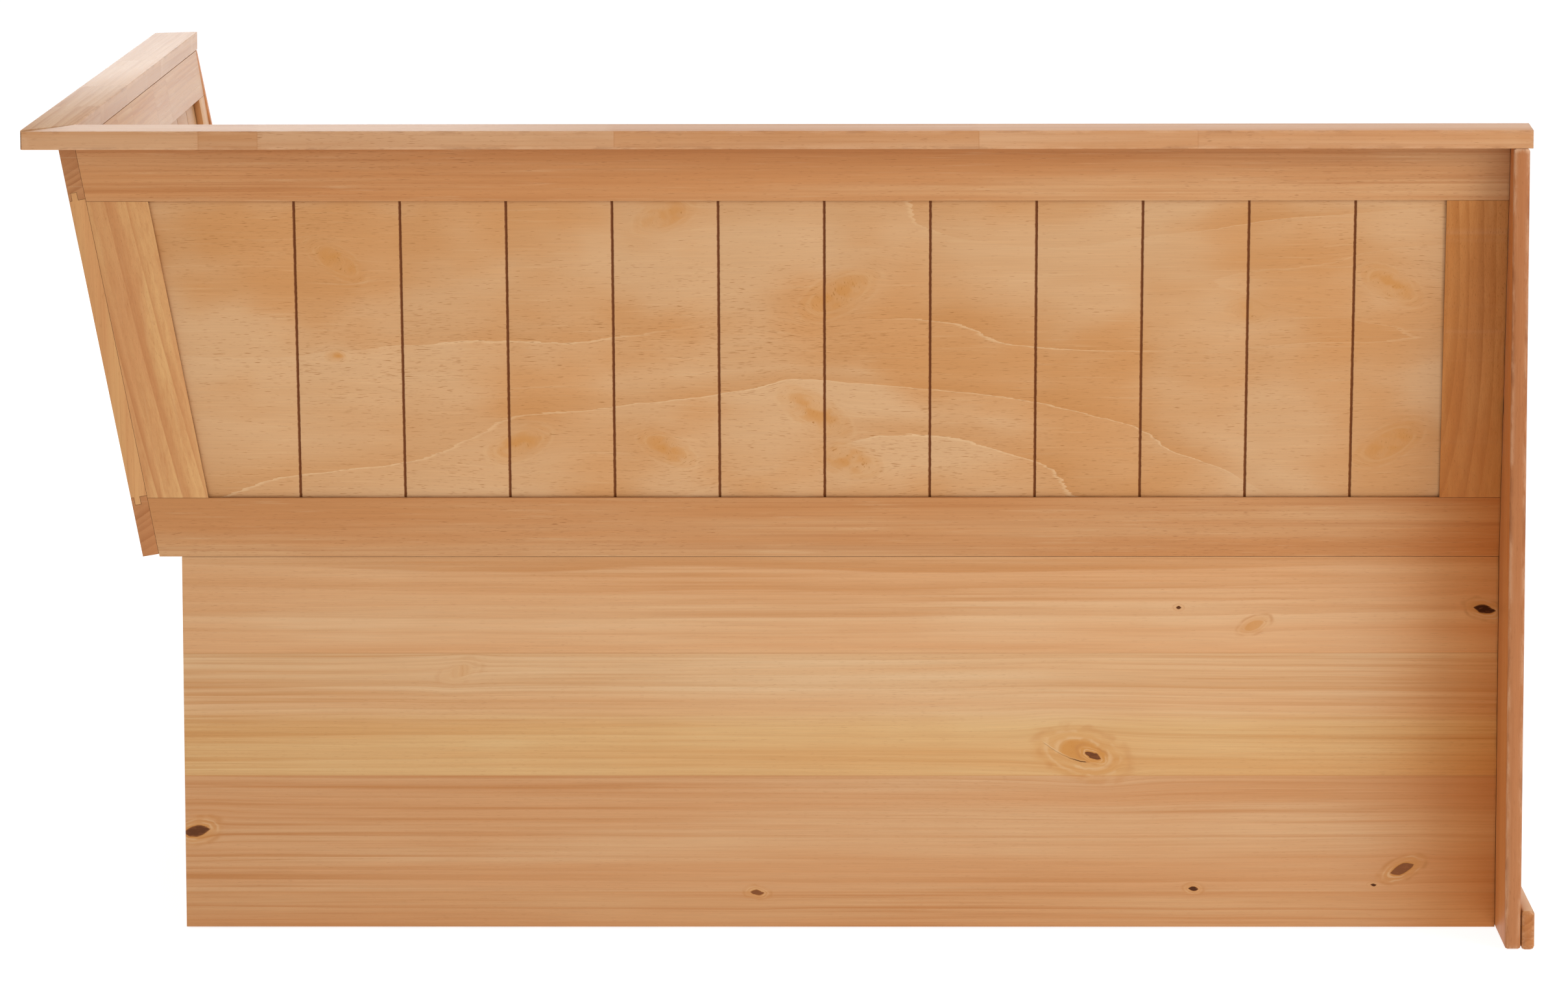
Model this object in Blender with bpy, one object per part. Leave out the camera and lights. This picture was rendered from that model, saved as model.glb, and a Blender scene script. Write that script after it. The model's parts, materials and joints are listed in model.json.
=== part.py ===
"""Pine corner bench: two chest wings with leaning panelled backrests that meet in a corner.

Corner coordinates are used while modelling: X runs along the long wing and Y along the short wing,
both from the inner corner of the room, and Z is up from the floor. The planes X = 0 and Y = 0 are
the walls that the caps touch. Each wing is described once by (along, depth, height), where depth is
measured out from the wall behind it. Everything hangs on one empty that puts the origin at the
bottom centre of the bench. Lengths are in metres.
"""
import math

import bmesh
import bpy
from mathutils import Vector

# Overall size
BENCH_HEIGHT = 0.860            # top of the caps at their front edge
SEAT_HEIGHT = 0.440
LONG_LENGTH = 1.555             # long cap, from the corner
SHORT_LENGTH = 1.370            # short cap, from the corner

# Caps
CAP_WIDTH = 0.052
CAP_THICK = 0.019               # at the long cap's rear edge
LONG_CAP_FALL = 0.0028          # rear edge lower than the front edge
SHORT_CAP_FALL = 0.0014         # less, so it stands proud at the outer corner
CAP_ROUND = 0.001
CAP_ROUND_STEPS = 3
CAP_END_OVERHANG = 0.003        # past the end panels
MITRE_GAP = 0.0006
MITRE_OPENING = 0.0014          # more at the outer corner

# Backrest frames
BACK_LEAN = math.radians(9.6)
BACK_FOOT = 0.109               # rear bottom edge, from the wall
BACK_BELOW_SEAT = 0.041         # rear bottom edge, under the top of the seat
FRAME_THICK = 0.017
TOP_RAIL_HEIGHT = 0.058
BOTTOM_RAIL_HEIGHT = 0.0645
STILE_WIDTH = 0.064
PANEL_THICK = 0.006
REAR_LIP = 0.003                # frame wood behind the panel groove
TONGUE_DEPTH = 0.008            # panel edges and stile tongues reach this far into the grooves
V_GROOVE_PITCH = 0.110
V_GROOVE_WIDTH = 0.0032
V_GROOVE_DEPTH = 0.0014
V_GROOVE_FIRST = 0.094          # from the end stile to the nearest groove

# Chest boxes
BOARD_THICK = 0.017
BOX_DEPTH = 0.440               # back face of the back board to front face of the front board
CORNER_WALL_SETBACK = 0.041     # corner end wall, in from the rear face of the short back board
BOARD_LIFT = 0.0025             # under the back and front boards
PLINTH_THICK = 0.014
PLINTH_HEIGHT = 0.042
PLINTH_ROUND = 0.004
CHEST_FLOOR_TOP = 0.070
CHEST_FLOOR_THICK = 0.008
CLEAT_SIZE = 0.020

# End panels
END_PANEL_THICK = 0.017
END_PANEL_LIFT = 0.0015         # above the floor, beside the plinth
END_PANEL_REAR_LONG = 0.001     # rear edge, from the wall
END_PANEL_REAR_SHORT = 0.030
END_PANEL_LEAN = math.radians(11.1)
END_PANEL_SWEEP_RISE = 0.200    # where the front edge leaves its straight slope, above the seat
END_PANEL_ARM = 0.030           # top of the sweep above the seat
END_PANEL_NOSE = 0.030          # radius of the front corner
SWEEP_PULL_TOP = 0.8            # how far the sweep keeps to the slope, as a share of its drop
SWEEP_PULL_ARM = 1.6            # how far the sweep keeps to the level arm, as a share of its drop
END_PANEL_ROUND = 0.003
SWEEP_STEPS = 12
NOSE_STEPS = 5

# Seats
SEAT_THICK = 0.018
SEAT_OVERHANG = 0.014           # past the front boards
SEAT_ROUND = 0.004
SEAT_SIDE_GAP = 0.002           # lids to their neighbours
SEAT_BACK_PLAY = 0.001          # behind the hinge rails and the corner board
HINGE_RAIL_WIDTH = 0.060
BEARER_WIDTH = 0.024
BEARER_HEIGHT = 0.036
LID_BATTEN_WIDTH = 0.045
LID_BATTEN_THICK = 0.016
LID_BATTEN_INSET = 0.170        # from the ends of the lid
LID_BATTEN_MARGIN = 0.035       # short of the bearer and the front board

# Hinges
HINGE_LENGTH = 0.080
HINGE_INSET = 0.120             # from the ends of the lid
LEAF_THICK = 0.0015
LEAF_HEIGHT = 0.018
KNUCKLE_RADIUS = 0.003
PIN_RADIUS = 0.0013
KNUCKLE_COUNT = 3
ROUND_SIDES = 16

# Clearance between neighbouring pieces
GAP = 0.0003

# Worked out from the sizes above
LEAN_SIN = math.sin(BACK_LEAN)
LEAN_COS = math.cos(BACK_LEAN)
LEAN_TAN = math.tan(BACK_LEAN)
CAP_UNDER = BENCH_HEIGHT - LONG_CAP_FALL - CAP_THICK
FRAME_TOP = CAP_UNDER - GAP
BACK_BOTTOM = SEAT_HEIGHT - BACK_BELOW_SEAT
END_PANEL_SWEEP_TOP = SEAT_HEIGHT + END_PANEL_SWEEP_RISE
CHANNEL_REAR = REAR_LIP
CHANNEL_FRONT = REAR_LIP + PANEL_THICK + 2 * GAP
CHANNEL_DEPTH = TONGUE_DEPTH + GAP
BACK_IN = BACK_FOOT + BOARD_THICK
BOX_FRONT = BACK_FOOT + BOX_DEPTH
FRONT_IN = BOX_FRONT - BOARD_THICK
CORNER_WALL_OUT = BACK_FOOT + CORNER_WALL_SETBACK
CORNER_WALL_IN = CORNER_WALL_OUT + BOARD_THICK
LONG_END_OUT = LONG_LENGTH - CAP_END_OVERHANG
LONG_END_IN = LONG_END_OUT - END_PANEL_THICK
SHORT_END_OUT = SHORT_LENGTH - CAP_END_OVERHANG
SHORT_END_IN = SHORT_END_OUT - END_PANEL_THICK
SEAT_FRONT = BOX_FRONT + SEAT_OVERHANG
SEAT_UNDER = SEAT_HEIGHT - SEAT_THICK
SEAT_REST = SEAT_UNDER - GAP                    # top of the boards that carry the seats
LONG_LID_START = BOX_FRONT - BOARD_THICK / 2 + SEAT_SIDE_GAP / 2
SHORT_LID_START = SEAT_FRONT + SEAT_SIDE_GAP
INNER_WALL_NEAR = SEAT_FRONT + SEAT_SIDE_GAP / 2 - BOARD_THICK / 2
INNER_WALL_FAR = INNER_WALL_NEAR + BOARD_THICK
LONG_LID_END = LONG_END_IN - SEAT_SIDE_GAP
SHORT_LID_END = SHORT_END_IN - SEAT_SIDE_GAP
HINGE_SPACE = 2 * (LEAF_THICK + GAP) + 2 * GAP  # between hinge rail and lid
CENTRE = Vector(((LONG_END_OUT + PLINTH_THICK + GAP) / 2, (SHORT_END_OUT + PLINTH_THICK + GAP) / 2, 0))


# Wings

def long_wing(along, depth, height):
    """Corner coordinates of a point on the long wing."""
    return Vector((along, depth, height))


def short_wing(along, depth, height):
    """Corner coordinates of a point on the short wing."""
    return Vector((depth, along, height))


def back_rear(height):
    """Depth of a backrest's rear face at a height."""
    return BACK_FOOT - (height - BACK_BOTTOM) * LEAN_TAN


def back_front(height):
    """Depth of a backrest's front face at a height."""
    return back_rear(height) + FRAME_THICK / LEAN_COS


def on_slope(rise, inward):
    """Depth and height of a point on the leaning frame, from its foot and its rear face."""
    depth = BACK_FOOT - rise * LEAN_SIN + inward * LEAN_COS
    height = BACK_BOTTOM + rise * LEAN_COS + inward * LEAN_SIN
    return depth, height


def rise_to_cap(inward):
    """Rise along the slope at which the frame's level top edge lies."""
    return (FRAME_TOP - BACK_BOTTOM - inward * LEAN_SIN) / LEAN_COS


# The rear edge of the hinge rails and the corner board clears the backrest at the seat's underside
SEAT_BACK = back_front(SEAT_UNDER) + SEAT_BACK_PLAY
HINGE_RAIL_FRONT = SEAT_BACK + HINGE_RAIL_WIDTH
HINGE_DEPTH = HINGE_RAIL_FRONT + HINGE_SPACE / 2
HINGE_HEIGHT = SEAT_HEIGHT + KNUCKLE_RADIUS + GAP
LID_BACK = HINGE_RAIL_FRONT + HINGE_SPACE
TOP_RAIL_FOOT = rise_to_cap(0) - TOP_RAIL_HEIGHT


# Scene helpers

def clear_scene():
    for thing in list(bpy.data.objects):
        bpy.data.objects.remove(thing, do_unlink=True)


def make_material(name, colour, roughness, metallic=0.0):
    material = bpy.data.materials.new(name)
    material.use_nodes = True
    shader = material.node_tree.nodes["Principled BSDF"]
    shader.inputs["Base Color"].default_value = (*colour, 1.0)
    shader.inputs["Roughness"].default_value = roughness
    shader.inputs["Metallic"].default_value = metallic
    return material


def make_empty(name, origin, turn=0.0, parent=None):
    """An empty at a place in corner coordinates."""
    empty = bpy.data.objects.new(name, None)
    bpy.context.scene.collection.objects.link(empty)
    empty.location = origin if parent is None else origin - Vector(parent["corner_place"])
    empty.rotation_euler.z = turn
    empty["corner_place"] = origin
    empty.parent = parent
    return empty


def add_object(name, mesh, material, parent):
    thing = bpy.data.objects.new(name, mesh)
    bpy.context.scene.collection.objects.link(thing)
    thing.parent = parent
    if material.name not in mesh.materials:
        mesh.materials.append(material)
    return thing


def face_outwards(form):
    form.normal_update()
    bmesh.ops.recalc_face_normals(form, faces=form.faces)


def mesh_from(form, name):
    face_outwards(form)
    mesh = bpy.data.meshes.new(name)
    form.to_mesh(mesh)
    form.free()
    return mesh


def bridge_outlines(first, second):
    """A closed form between two outlines with the same number of points."""
    form = bmesh.new()
    start = [form.verts.new(point) for point in first]
    finish = [form.verts.new(point) for point in second]
    form.faces.new(start)
    form.faces.new(finish)
    count = len(first)
    for index in range(count):
        after = (index + 1) % count
        form.faces.new((start[index], start[after], finish[after], finish[index]))
    return form


def round_edges(form, edges, radius, segments=2):
    bmesh.ops.bevel(form, geom=edges, offset=radius, segments=segments, profile=0.5, affect="EDGES")


def in_parent(point, parent):
    """Turn corner coordinates into the parent's own."""
    local = point - Vector(parent["corner_place"])
    local.rotate(parent.rotation_euler.to_matrix().inverted())
    return local


def add_form(name, form, material, parent):
    for vertex in form.verts:
        vertex.co = in_parent(vertex.co, parent)
    return add_object(name, mesh_from(form, name), material, parent)


def sweep(name, wing, profile, start, finish, material, parent):
    """A profile of (depth, height) points drawn along a wing between two end cuts.

    start and finish give the end cut's place along the wing for a profile point.
    """
    near = [wing(start(depth, height), depth, height) for depth, height in profile]
    far = [wing(finish(depth, height), depth, height) for depth, height in profile]
    return add_form(name, bridge_outlines(near, far), material, parent)


def board(name, wing, along, depth, height, material, parent, rounding=0.0):
    """A square-cut board between two places along, two depths and two heights."""
    low = wing(along[0], depth[0], height[0])
    high = wing(along[1], depth[1], height[1])
    floor = [(low.x, low.y), (high.x, low.y), (high.x, high.y), (low.x, high.y)]
    form = bridge_outlines([(x, y, low.z) for x, y in floor], [(x, y, high.z) for x, y in floor])
    if rounding:
        face_outwards(form)
        round_edges(form, list(form.edges), rounding)
    return add_form(name, form, material, parent)


def cut_or_join(target, tool, operation):
    """Apply one Boolean to an object's mesh and remove the tool."""
    modifier = target.modifiers.new("boolean", "BOOLEAN")
    modifier.operation = operation
    modifier.solver = "EXACT"
    modifier.object = tool
    bpy.context.view_layer.update()
    evaluated = target.evaluated_get(bpy.context.evaluated_depsgraph_get())
    result = bpy.data.meshes.new_from_object(evaluated)
    target.modifiers.remove(modifier)
    target.data = result
    bpy.data.objects.remove(tool, do_unlink=True)


# Caps

def rounded_cap_profile(fall):
    """Section of a cap as (depth, height) points: level below, falling a little to the wall on top."""
    profile = []
    rear = CAP_ROUND
    front = CAP_WIDTH - CAP_ROUND
    low = CAP_UNDER + CAP_ROUND
    rear_top = BENCH_HEIGHT - fall - CAP_ROUND
    front_top = BENCH_HEIGHT - CAP_ROUND
    corners = [(rear, low, 180), (front, low, 270), (front, front_top, 0), (rear, rear_top, 90)]
    for depth, height, first_angle in corners:
        for step in range(CAP_ROUND_STEPS + 1):
            angle = math.radians(first_angle + 90 * step / CAP_ROUND_STEPS)
            profile.append((depth + CAP_ROUND * math.cos(angle), height + CAP_ROUND * math.sin(angle)))
    return profile


def add_cap(name, wing, length, fall, material, parent):
    """A cap from its mitre at the corner to its square end."""
    def mitre(depth, height):
        return depth + (MITRE_GAP + MITRE_OPENING * (1 - depth / CAP_WIDTH)) / 2

    def square_end(depth, height):
        return length

    sweep(name, wing, rounded_cap_profile(fall), mitre, square_end, material, parent)


# Backrests

def slope_profile(points):
    """Turn (rise, inward) points on the leaning frame into (depth, height) points."""
    return [on_slope(rise, inward) for rise, inward in points]


def bottom_rail_profile():
    top = BOTTOM_RAIL_HEIGHT
    bed = top - CHANNEL_DEPTH
    return slope_profile([(0, 0), (0, FRAME_THICK), (top, FRAME_THICK), (top, CHANNEL_FRONT),
                          (bed, CHANNEL_FRONT), (bed, CHANNEL_REAR), (top, CHANNEL_REAR), (top, 0)])


def top_rail_profile():
    foot = TOP_RAIL_FOOT
    bed = foot + CHANNEL_DEPTH
    return slope_profile([(foot, 0), (rise_to_cap(0), 0), (rise_to_cap(FRAME_THICK), FRAME_THICK),
                          (foot, FRAME_THICK), (foot, CHANNEL_FRONT), (bed, CHANNEL_FRONT),
                          (bed, CHANNEL_REAR), (foot, CHANNEL_REAR)])


def stile_profile():
    """A stile seen from its edge: its shoulders meet the rails and its tongues enter their grooves."""
    low = BOTTOM_RAIL_HEIGHT + GAP
    high = TOP_RAIL_FOOT - GAP
    rear = CHANNEL_REAR + GAP
    front = CHANNEL_FRONT - GAP
    low_tip = BOTTOM_RAIL_HEIGHT - TONGUE_DEPTH
    high_tip = TOP_RAIL_FOOT + TONGUE_DEPTH
    return slope_profile([(low, 0), (high, 0), (high, rear), (high_tip, rear), (high_tip, front),
                          (high, front), (high, FRAME_THICK), (low, FRAME_THICK), (low, front),
                          (low_tip, front), (low_tip, rear), (low, rear)])


def channel_profile():
    """Section of the panel groove, longer than the stiles that it is cut into."""
    low = BOTTOM_RAIL_HEIGHT - 2 * TONGUE_DEPTH
    high = TOP_RAIL_FOOT + 2 * TONGUE_DEPTH
    return slope_profile([(low, CHANNEL_REAR), (high, CHANNEL_REAR),
                          (high, CHANNEL_FRONT), (low, CHANNEL_FRONT)])


def panel_outline(near_edge, far_edge, far_stile_edge):
    """Places along the wing and inward steps round a grooved panel, at its bottom or its top edge."""
    rear = CHANNEL_REAR + GAP
    front = CHANNEL_FRONT - GAP
    half = V_GROOVE_WIDTH / 2
    grooves = []
    place = far_stile_edge - V_GROOVE_FIRST
    while place - half > near_edge(on_slope(BOTTOM_RAIL_HEIGHT, 0)[1]) + TONGUE_DEPTH + half:
        grooves.insert(0, place)
        place -= V_GROOVE_PITCH
    outline = [(None, rear)]
    for place in grooves:
        outline += [(place - half, rear), (place, rear + V_GROOVE_DEPTH), (place + half, rear)]
    outline += [(far_edge, rear), (far_edge, front)]
    for place in reversed(grooves):
        outline += [(place + half, front), (place, front - V_GROOVE_DEPTH), (place - half, front)]
    outline.append((None, front))
    return outline


def add_panel(name, wing, near_edge, far_edge, far_stile_edge, material, parent):
    """Plywood panel with upright grooves on both faces. Its near edge follows the corner's slant."""
    outline = panel_outline(near_edge, far_edge, far_stile_edge)
    ends = []
    for rise in (BOTTOM_RAIL_HEIGHT - TONGUE_DEPTH, TOP_RAIL_FOOT + TONGUE_DEPTH):
        points = []
        for along, inward in outline:
            depth, height = on_slope(rise, inward)
            place = near_edge(height) if along is None else along
            points.append(wing(place, depth, height))
        ends.append(points)
    add_form(name, bridge_outlines(*ends), material, parent)


def add_backrest(prefix, wing, near_end, far_end, materials, parent):
    """Rails, stiles and panel of one backrest between its end at the corner and its end panel.

    near_end gives the slanted end at the corner for a height.
    """
    def near_cut(depth, height):
        return near_end(height)

    def far_cut(depth, height):
        return far_end

    def corner_stile_edge(depth, height):
        return near_end(height) + STILE_WIDTH

    def end_stile_edge(depth, height):
        return far_end - STILE_WIDTH

    def panel_near(height):
        return near_end(height) + STILE_WIDTH - TONGUE_DEPTH

    wood = materials["pine"]
    sweep(f"{prefix}_bottom_rail", wing, bottom_rail_profile(), near_cut, far_cut, wood, parent)
    sweep(f"{prefix}_top_rail", wing, top_rail_profile(), near_cut, far_cut, wood, parent)
    corner_stile = sweep(f"{prefix}_corner_stile", wing, stile_profile(), near_cut, corner_stile_edge, wood,
                         parent)
    end_stile = sweep(f"{prefix}_end_stile", wing, stile_profile(), end_stile_edge, far_cut, wood, parent)

    def corner_channel_bed(depth, height):
        return panel_near(height) - GAP

    def corner_channel_mouth(depth, height):
        return corner_stile_edge(depth, height) + TONGUE_DEPTH

    def end_channel_mouth(depth, height):
        return end_stile_edge(depth, height) - TONGUE_DEPTH

    def end_channel_bed(depth, height):
        return end_stile_edge(depth, height) + TONGUE_DEPTH + GAP

    for stile, start, finish in ((corner_stile, corner_channel_bed, corner_channel_mouth),
                                 (end_stile, end_channel_mouth, end_channel_bed)):
        channel = sweep("channel", wing, channel_profile(), start, finish, wood, parent)
        cut_or_join(stile, channel, "DIFFERENCE")

    far_stile_edge = far_end - STILE_WIDTH
    add_panel(f"{prefix}_grooved_panel", wing, panel_near, far_stile_edge + TONGUE_DEPTH, far_stile_edge,
              materials["plywood"], parent)


# End panels

def cubic(first, second, third, fourth, share):
    rest = 1 - share
    return (rest ** 3 * first + 3 * rest ** 2 * share * second
            + 3 * rest * share ** 2 * third + share ** 3 * fourth)


def end_panel_outline(rear):
    """Side outline of an end panel: upright at the wall, leaning in front, swept out to the seat."""
    top_depth = CAP_WIDTH
    top = FRAME_TOP
    arm = SEAT_HEIGHT + END_PANEL_ARM
    slope = Vector((math.sin(END_PANEL_LEAN), -math.cos(END_PANEL_LEAN)))
    leave = Vector((top_depth + (top - END_PANEL_SWEEP_TOP) * math.tan(END_PANEL_LEAN), END_PANEL_SWEEP_TOP))
    nose_start = Vector((BOX_FRONT - END_PANEL_NOSE, arm))
    drop = END_PANEL_SWEEP_TOP - arm
    leave_pull = leave + slope * SWEEP_PULL_TOP * drop
    nose_pull = nose_start - Vector((SWEEP_PULL_ARM * drop, 0))
    outline = [Vector((rear, END_PANEL_LIFT)), Vector((rear, top)), Vector((top_depth, top))]
    for step in range(SWEEP_STEPS + 1):
        outline.append(cubic(leave, leave_pull, nose_pull, nose_start, step / SWEEP_STEPS))
    for step in range(1, NOSE_STEPS + 1):
        angle = math.radians(90 - 90 * step / NOSE_STEPS)
        turn = Vector((math.cos(angle), math.sin(angle) - 1))
        outline.append(nose_start + END_PANEL_NOSE * turn)
    outline.append(Vector((BOX_FRONT, END_PANEL_LIFT)))
    return outline


def add_end_panel(name, wing, inner, rear, material, parent):
    outline = end_panel_outline(rear)
    near = [wing(inner, depth, height) for depth, height in outline]
    far = [wing(inner + END_PANEL_THICK, depth, height) for depth, height in outline]
    form = bridge_outlines(near, far)
    face_outwards(form)
    rims = [edge for edge in form.edges if max(len(face.verts) for face in edge.link_faces) > 4]
    round_edges(form, rims, END_PANEL_ROUND)
    add_form(name, form, material, parent)


# Chests

def add_long_box(materials, parent):
    wood = materials["pine"]
    inside = materials["raw_pine"]
    body = (BOARD_LIFT, SEAT_REST)
    board("long_back_board", long_wing, (CORNER_WALL_OUT, LONG_END_IN - GAP), (BACK_FOOT, BACK_IN),
          (BOARD_LIFT, BACK_BOTTOM - GAP), wood, parent)
    board("long_front_board", long_wing, (BOX_FRONT + GAP, LONG_END_IN - GAP), (FRONT_IN, BOX_FRONT), body,
          wood, parent)
    board("divider", long_wing, (FRONT_IN, BOX_FRONT), (BACK_IN + GAP, BOX_FRONT), (0, SEAT_REST), inside,
          parent)
    board("corner_end_wall", long_wing, (CORNER_WALL_OUT, CORNER_WALL_IN),
          (BACK_IN + GAP, INNER_WALL_NEAR - GAP), (0, SEAT_REST), wood, parent)
    add_chest_floor("long", long_wing, BOX_FRONT + GAP, LONG_END_IN - GAP, materials, parent)


def add_short_box(materials, parent):
    wood = materials["pine"]
    inside = materials["raw_pine"]
    board("short_back_board", short_wing, (INNER_WALL_NEAR, SHORT_END_IN - GAP), (BACK_FOOT, BACK_IN),
          (BOARD_LIFT, BACK_BOTTOM - GAP), wood, parent)
    board("short_front_board", short_wing, (BOX_FRONT + GAP, SHORT_END_IN - GAP), (FRONT_IN, BOX_FRONT),
          (BOARD_LIFT, SEAT_REST), wood, parent)
    board("inner_wall", short_wing, (INNER_WALL_NEAR, INNER_WALL_FAR), (BACK_IN + GAP, FRONT_IN - GAP),
          (0, SEAT_REST), inside, parent)
    add_chest_floor("short", short_wing, INNER_WALL_FAR + GAP, SHORT_END_IN - GAP, materials, parent)


def add_chest_floor(prefix, wing, start, finish, materials, parent):
    """Plywood floor of a chest on a cleat along the back board and one along the front board."""
    under = CHEST_FLOOR_TOP - CHEST_FLOOR_THICK
    cleat = (under - GAP - CLEAT_SIZE, under - GAP)
    rear = BACK_IN + GAP
    front = FRONT_IN - GAP
    board(f"{prefix}_chest_floor", wing, (start, finish), (rear, front), (under, CHEST_FLOOR_TOP),
          materials["plywood"], parent)
    for side, depth in (("rear", (rear, rear + CLEAT_SIZE)), ("front", (front - CLEAT_SIZE, front))):
        board(f"{prefix}_floor_cleat_{side}", wing, (start, finish), depth, cleat, materials["raw_pine"],
              parent)


def add_plinths(material, parent):
    height = (0, PLINTH_HEIGHT)
    face = (BOX_FRONT + GAP, BOX_FRONT + GAP + PLINTH_THICK)
    corner = {"long": face[1] + GAP, "short": face[0]}
    ends = {"long": LONG_END_OUT, "short": SHORT_END_OUT}
    rears = {"long": END_PANEL_REAR_LONG, "short": END_PANEL_REAR_SHORT}
    for prefix, wing in (("long", long_wing), ("short", short_wing)):
        outer = ends[prefix]
        board(f"{prefix}_front_plinth", wing, (corner[prefix], outer), face, height, material, parent,
              PLINTH_ROUND)
        board(f"{prefix}_end_plinth", wing, (outer + GAP, outer + GAP + PLINTH_THICK),
              (rears[prefix], face[1]), height, material, parent, PLINTH_ROUND)


# Seats

def add_fixed_seats(materials, parent):
    """Corner board, hinge rails, and the bearers and cleats that carry the seats."""
    wood = materials["pine"]
    inside = materials["raw_pine"]
    seat = (SEAT_UNDER, SEAT_HEIGHT)
    carry = (SEAT_REST - BEARER_HEIGHT, SEAT_REST)
    bearer = (BACK_IN + GAP, BACK_IN + GAP + BEARER_WIDTH)
    board("corner_seat_board", long_wing, (SEAT_BACK, LONG_LID_START - SEAT_SIDE_GAP),
          (SEAT_BACK, SEAT_FRONT), seat, wood, parent)
    board("long_hinge_rail", long_wing, (LONG_LID_START, LONG_END_IN - GAP),
          (SEAT_BACK, HINGE_RAIL_FRONT), seat, wood, parent)
    board("short_hinge_rail", short_wing, (SHORT_LID_START, SHORT_END_IN - GAP),
          (SEAT_BACK, HINGE_RAIL_FRONT), seat, wood, parent)
    board("corner_bearer", long_wing, (CORNER_WALL_IN + GAP, FRONT_IN - GAP), bearer, carry, inside, parent)
    board("long_bearer", long_wing, (BOX_FRONT + GAP, LONG_END_IN - GAP), bearer, carry, inside, parent)
    board("short_bearer", short_wing, (INNER_WALL_FAR + GAP, SHORT_END_IN - GAP), bearer, carry, inside,
          parent)
    cleat_depth = (bearer[1] + GAP, FRONT_IN - GAP)
    for prefix, wing, end in (("long", long_wing, LONG_END_IN), ("short", short_wing, SHORT_END_IN)):
        board(f"{prefix}_seat_cleat", wing, (end - GAP - CLEAT_SIZE, end - GAP), cleat_depth, carry, inside,
              parent)


def add_lid(prefix, wing, start, finish, materials, pivot):
    """A seat lid with two battens under it, moving with its pivot."""
    lid = (start, finish)
    board(f"{prefix}_seat_lid", wing, lid, (LID_BACK, SEAT_FRONT), (SEAT_UNDER, SEAT_HEIGHT),
          materials["pine"], pivot, SEAT_ROUND)
    depth = (LID_BACK + LID_BATTEN_MARGIN, FRONT_IN - LID_BATTEN_MARGIN)
    height = (SEAT_REST - LID_BATTEN_THICK, SEAT_REST)
    first = start + LID_BATTEN_INSET
    last = finish - LID_BATTEN_INSET - LID_BATTEN_WIDTH
    for side, place in (("corner", first), ("end", last)):
        board(f"{prefix}_lid_batten_{side}", wing, (place, place + LID_BATTEN_WIDTH), depth, height,
              materials["raw_pine"], pivot)


# Hinges, modelled with the pin along X and the lid on the +Y side

def rod(name, radius, start, finish, material):
    form = bmesh.new()
    bmesh.ops.create_cone(form, cap_ends=True, segments=ROUND_SIDES, radius1=radius, radius2=radius,
                          depth=finish - start)
    for vertex in form.verts:
        vertex.co = Vector((vertex.co.z + (start + finish) / 2, vertex.co.x, vertex.co.y))
    return add_object(name, mesh_from(form, name), material, None)


def leaf_mesh(side, own_knuckles, material):
    """Mesh of a hinge leaf: a plate with its share of the knuckles, bored for the pin."""
    half = HINGE_LENGTH / 2
    knuckle = HINGE_LENGTH / KNUCKLE_COUNT
    inner = GAP * side
    outer = (GAP + LEAF_THICK) * side
    low = -LEAF_HEIGHT - KNUCKLE_RADIUS
    section = [(inner, low), (outer, low), (outer, 0), (inner, 0)]
    form = bridge_outlines([(-half, y, z) for y, z in section], [(half, y, z) for y, z in section])
    leaf = add_object("leaf", mesh_from(form, "leaf"), material, None)
    cut_or_join(leaf, rod("barrel", KNUCKLE_RADIUS, -half, half, material), "UNION")
    for index in range(KNUCKLE_COUNT):
        if index in own_knuckles:
            continue
        start = -half + index * knuckle - GAP
        cut_or_join(leaf, rod("relief", KNUCKLE_RADIUS + GAP, start, start + knuckle + 2 * GAP, material),
                    "DIFFERENCE")
    cut_or_join(leaf, rod("bore", PIN_RADIUS + GAP, -half - GAP, half + GAP, material), "DIFFERENCE")
    mesh = leaf.data
    bpy.data.objects.remove(leaf, do_unlink=True)
    return mesh


def add_hinges(prefix, wing, start, finish, material, pivot, bench):
    """Two butt hinges between a hinge rail and its lid."""
    fixed = leaf_mesh(-1, range(0, KNUCKLE_COUNT, 2), material)
    moving = leaf_mesh(1, range(1, KNUCKLE_COUNT, 2), material)
    half = HINGE_LENGTH / 2
    pin_rod = rod("pin", PIN_RADIUS, -half, half, material)
    pin = pin_rod.data
    bpy.data.objects.remove(pin_rod, do_unlink=True)
    middle = (start + finish) / 2
    reach = (finish - start) / 2 - HINGE_INSET - half
    for side, offset in (("corner", -reach), ("end", reach)):
        place = wing(middle + offset, HINGE_DEPTH, HINGE_HEIGHT)
        for part, mesh in (("fixed_leaf", fixed), ("pin", pin)):
            piece = add_object(f"{prefix}_hinge_{side}_{part}", mesh, material, bench)
            piece.location = in_parent(place, bench)
            piece.rotation_euler = pivot.rotation_euler
        piece = add_object(f"{prefix}_hinge_{side}_moving_leaf", moving, material, pivot)
        piece.location = in_parent(place, pivot)


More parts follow.
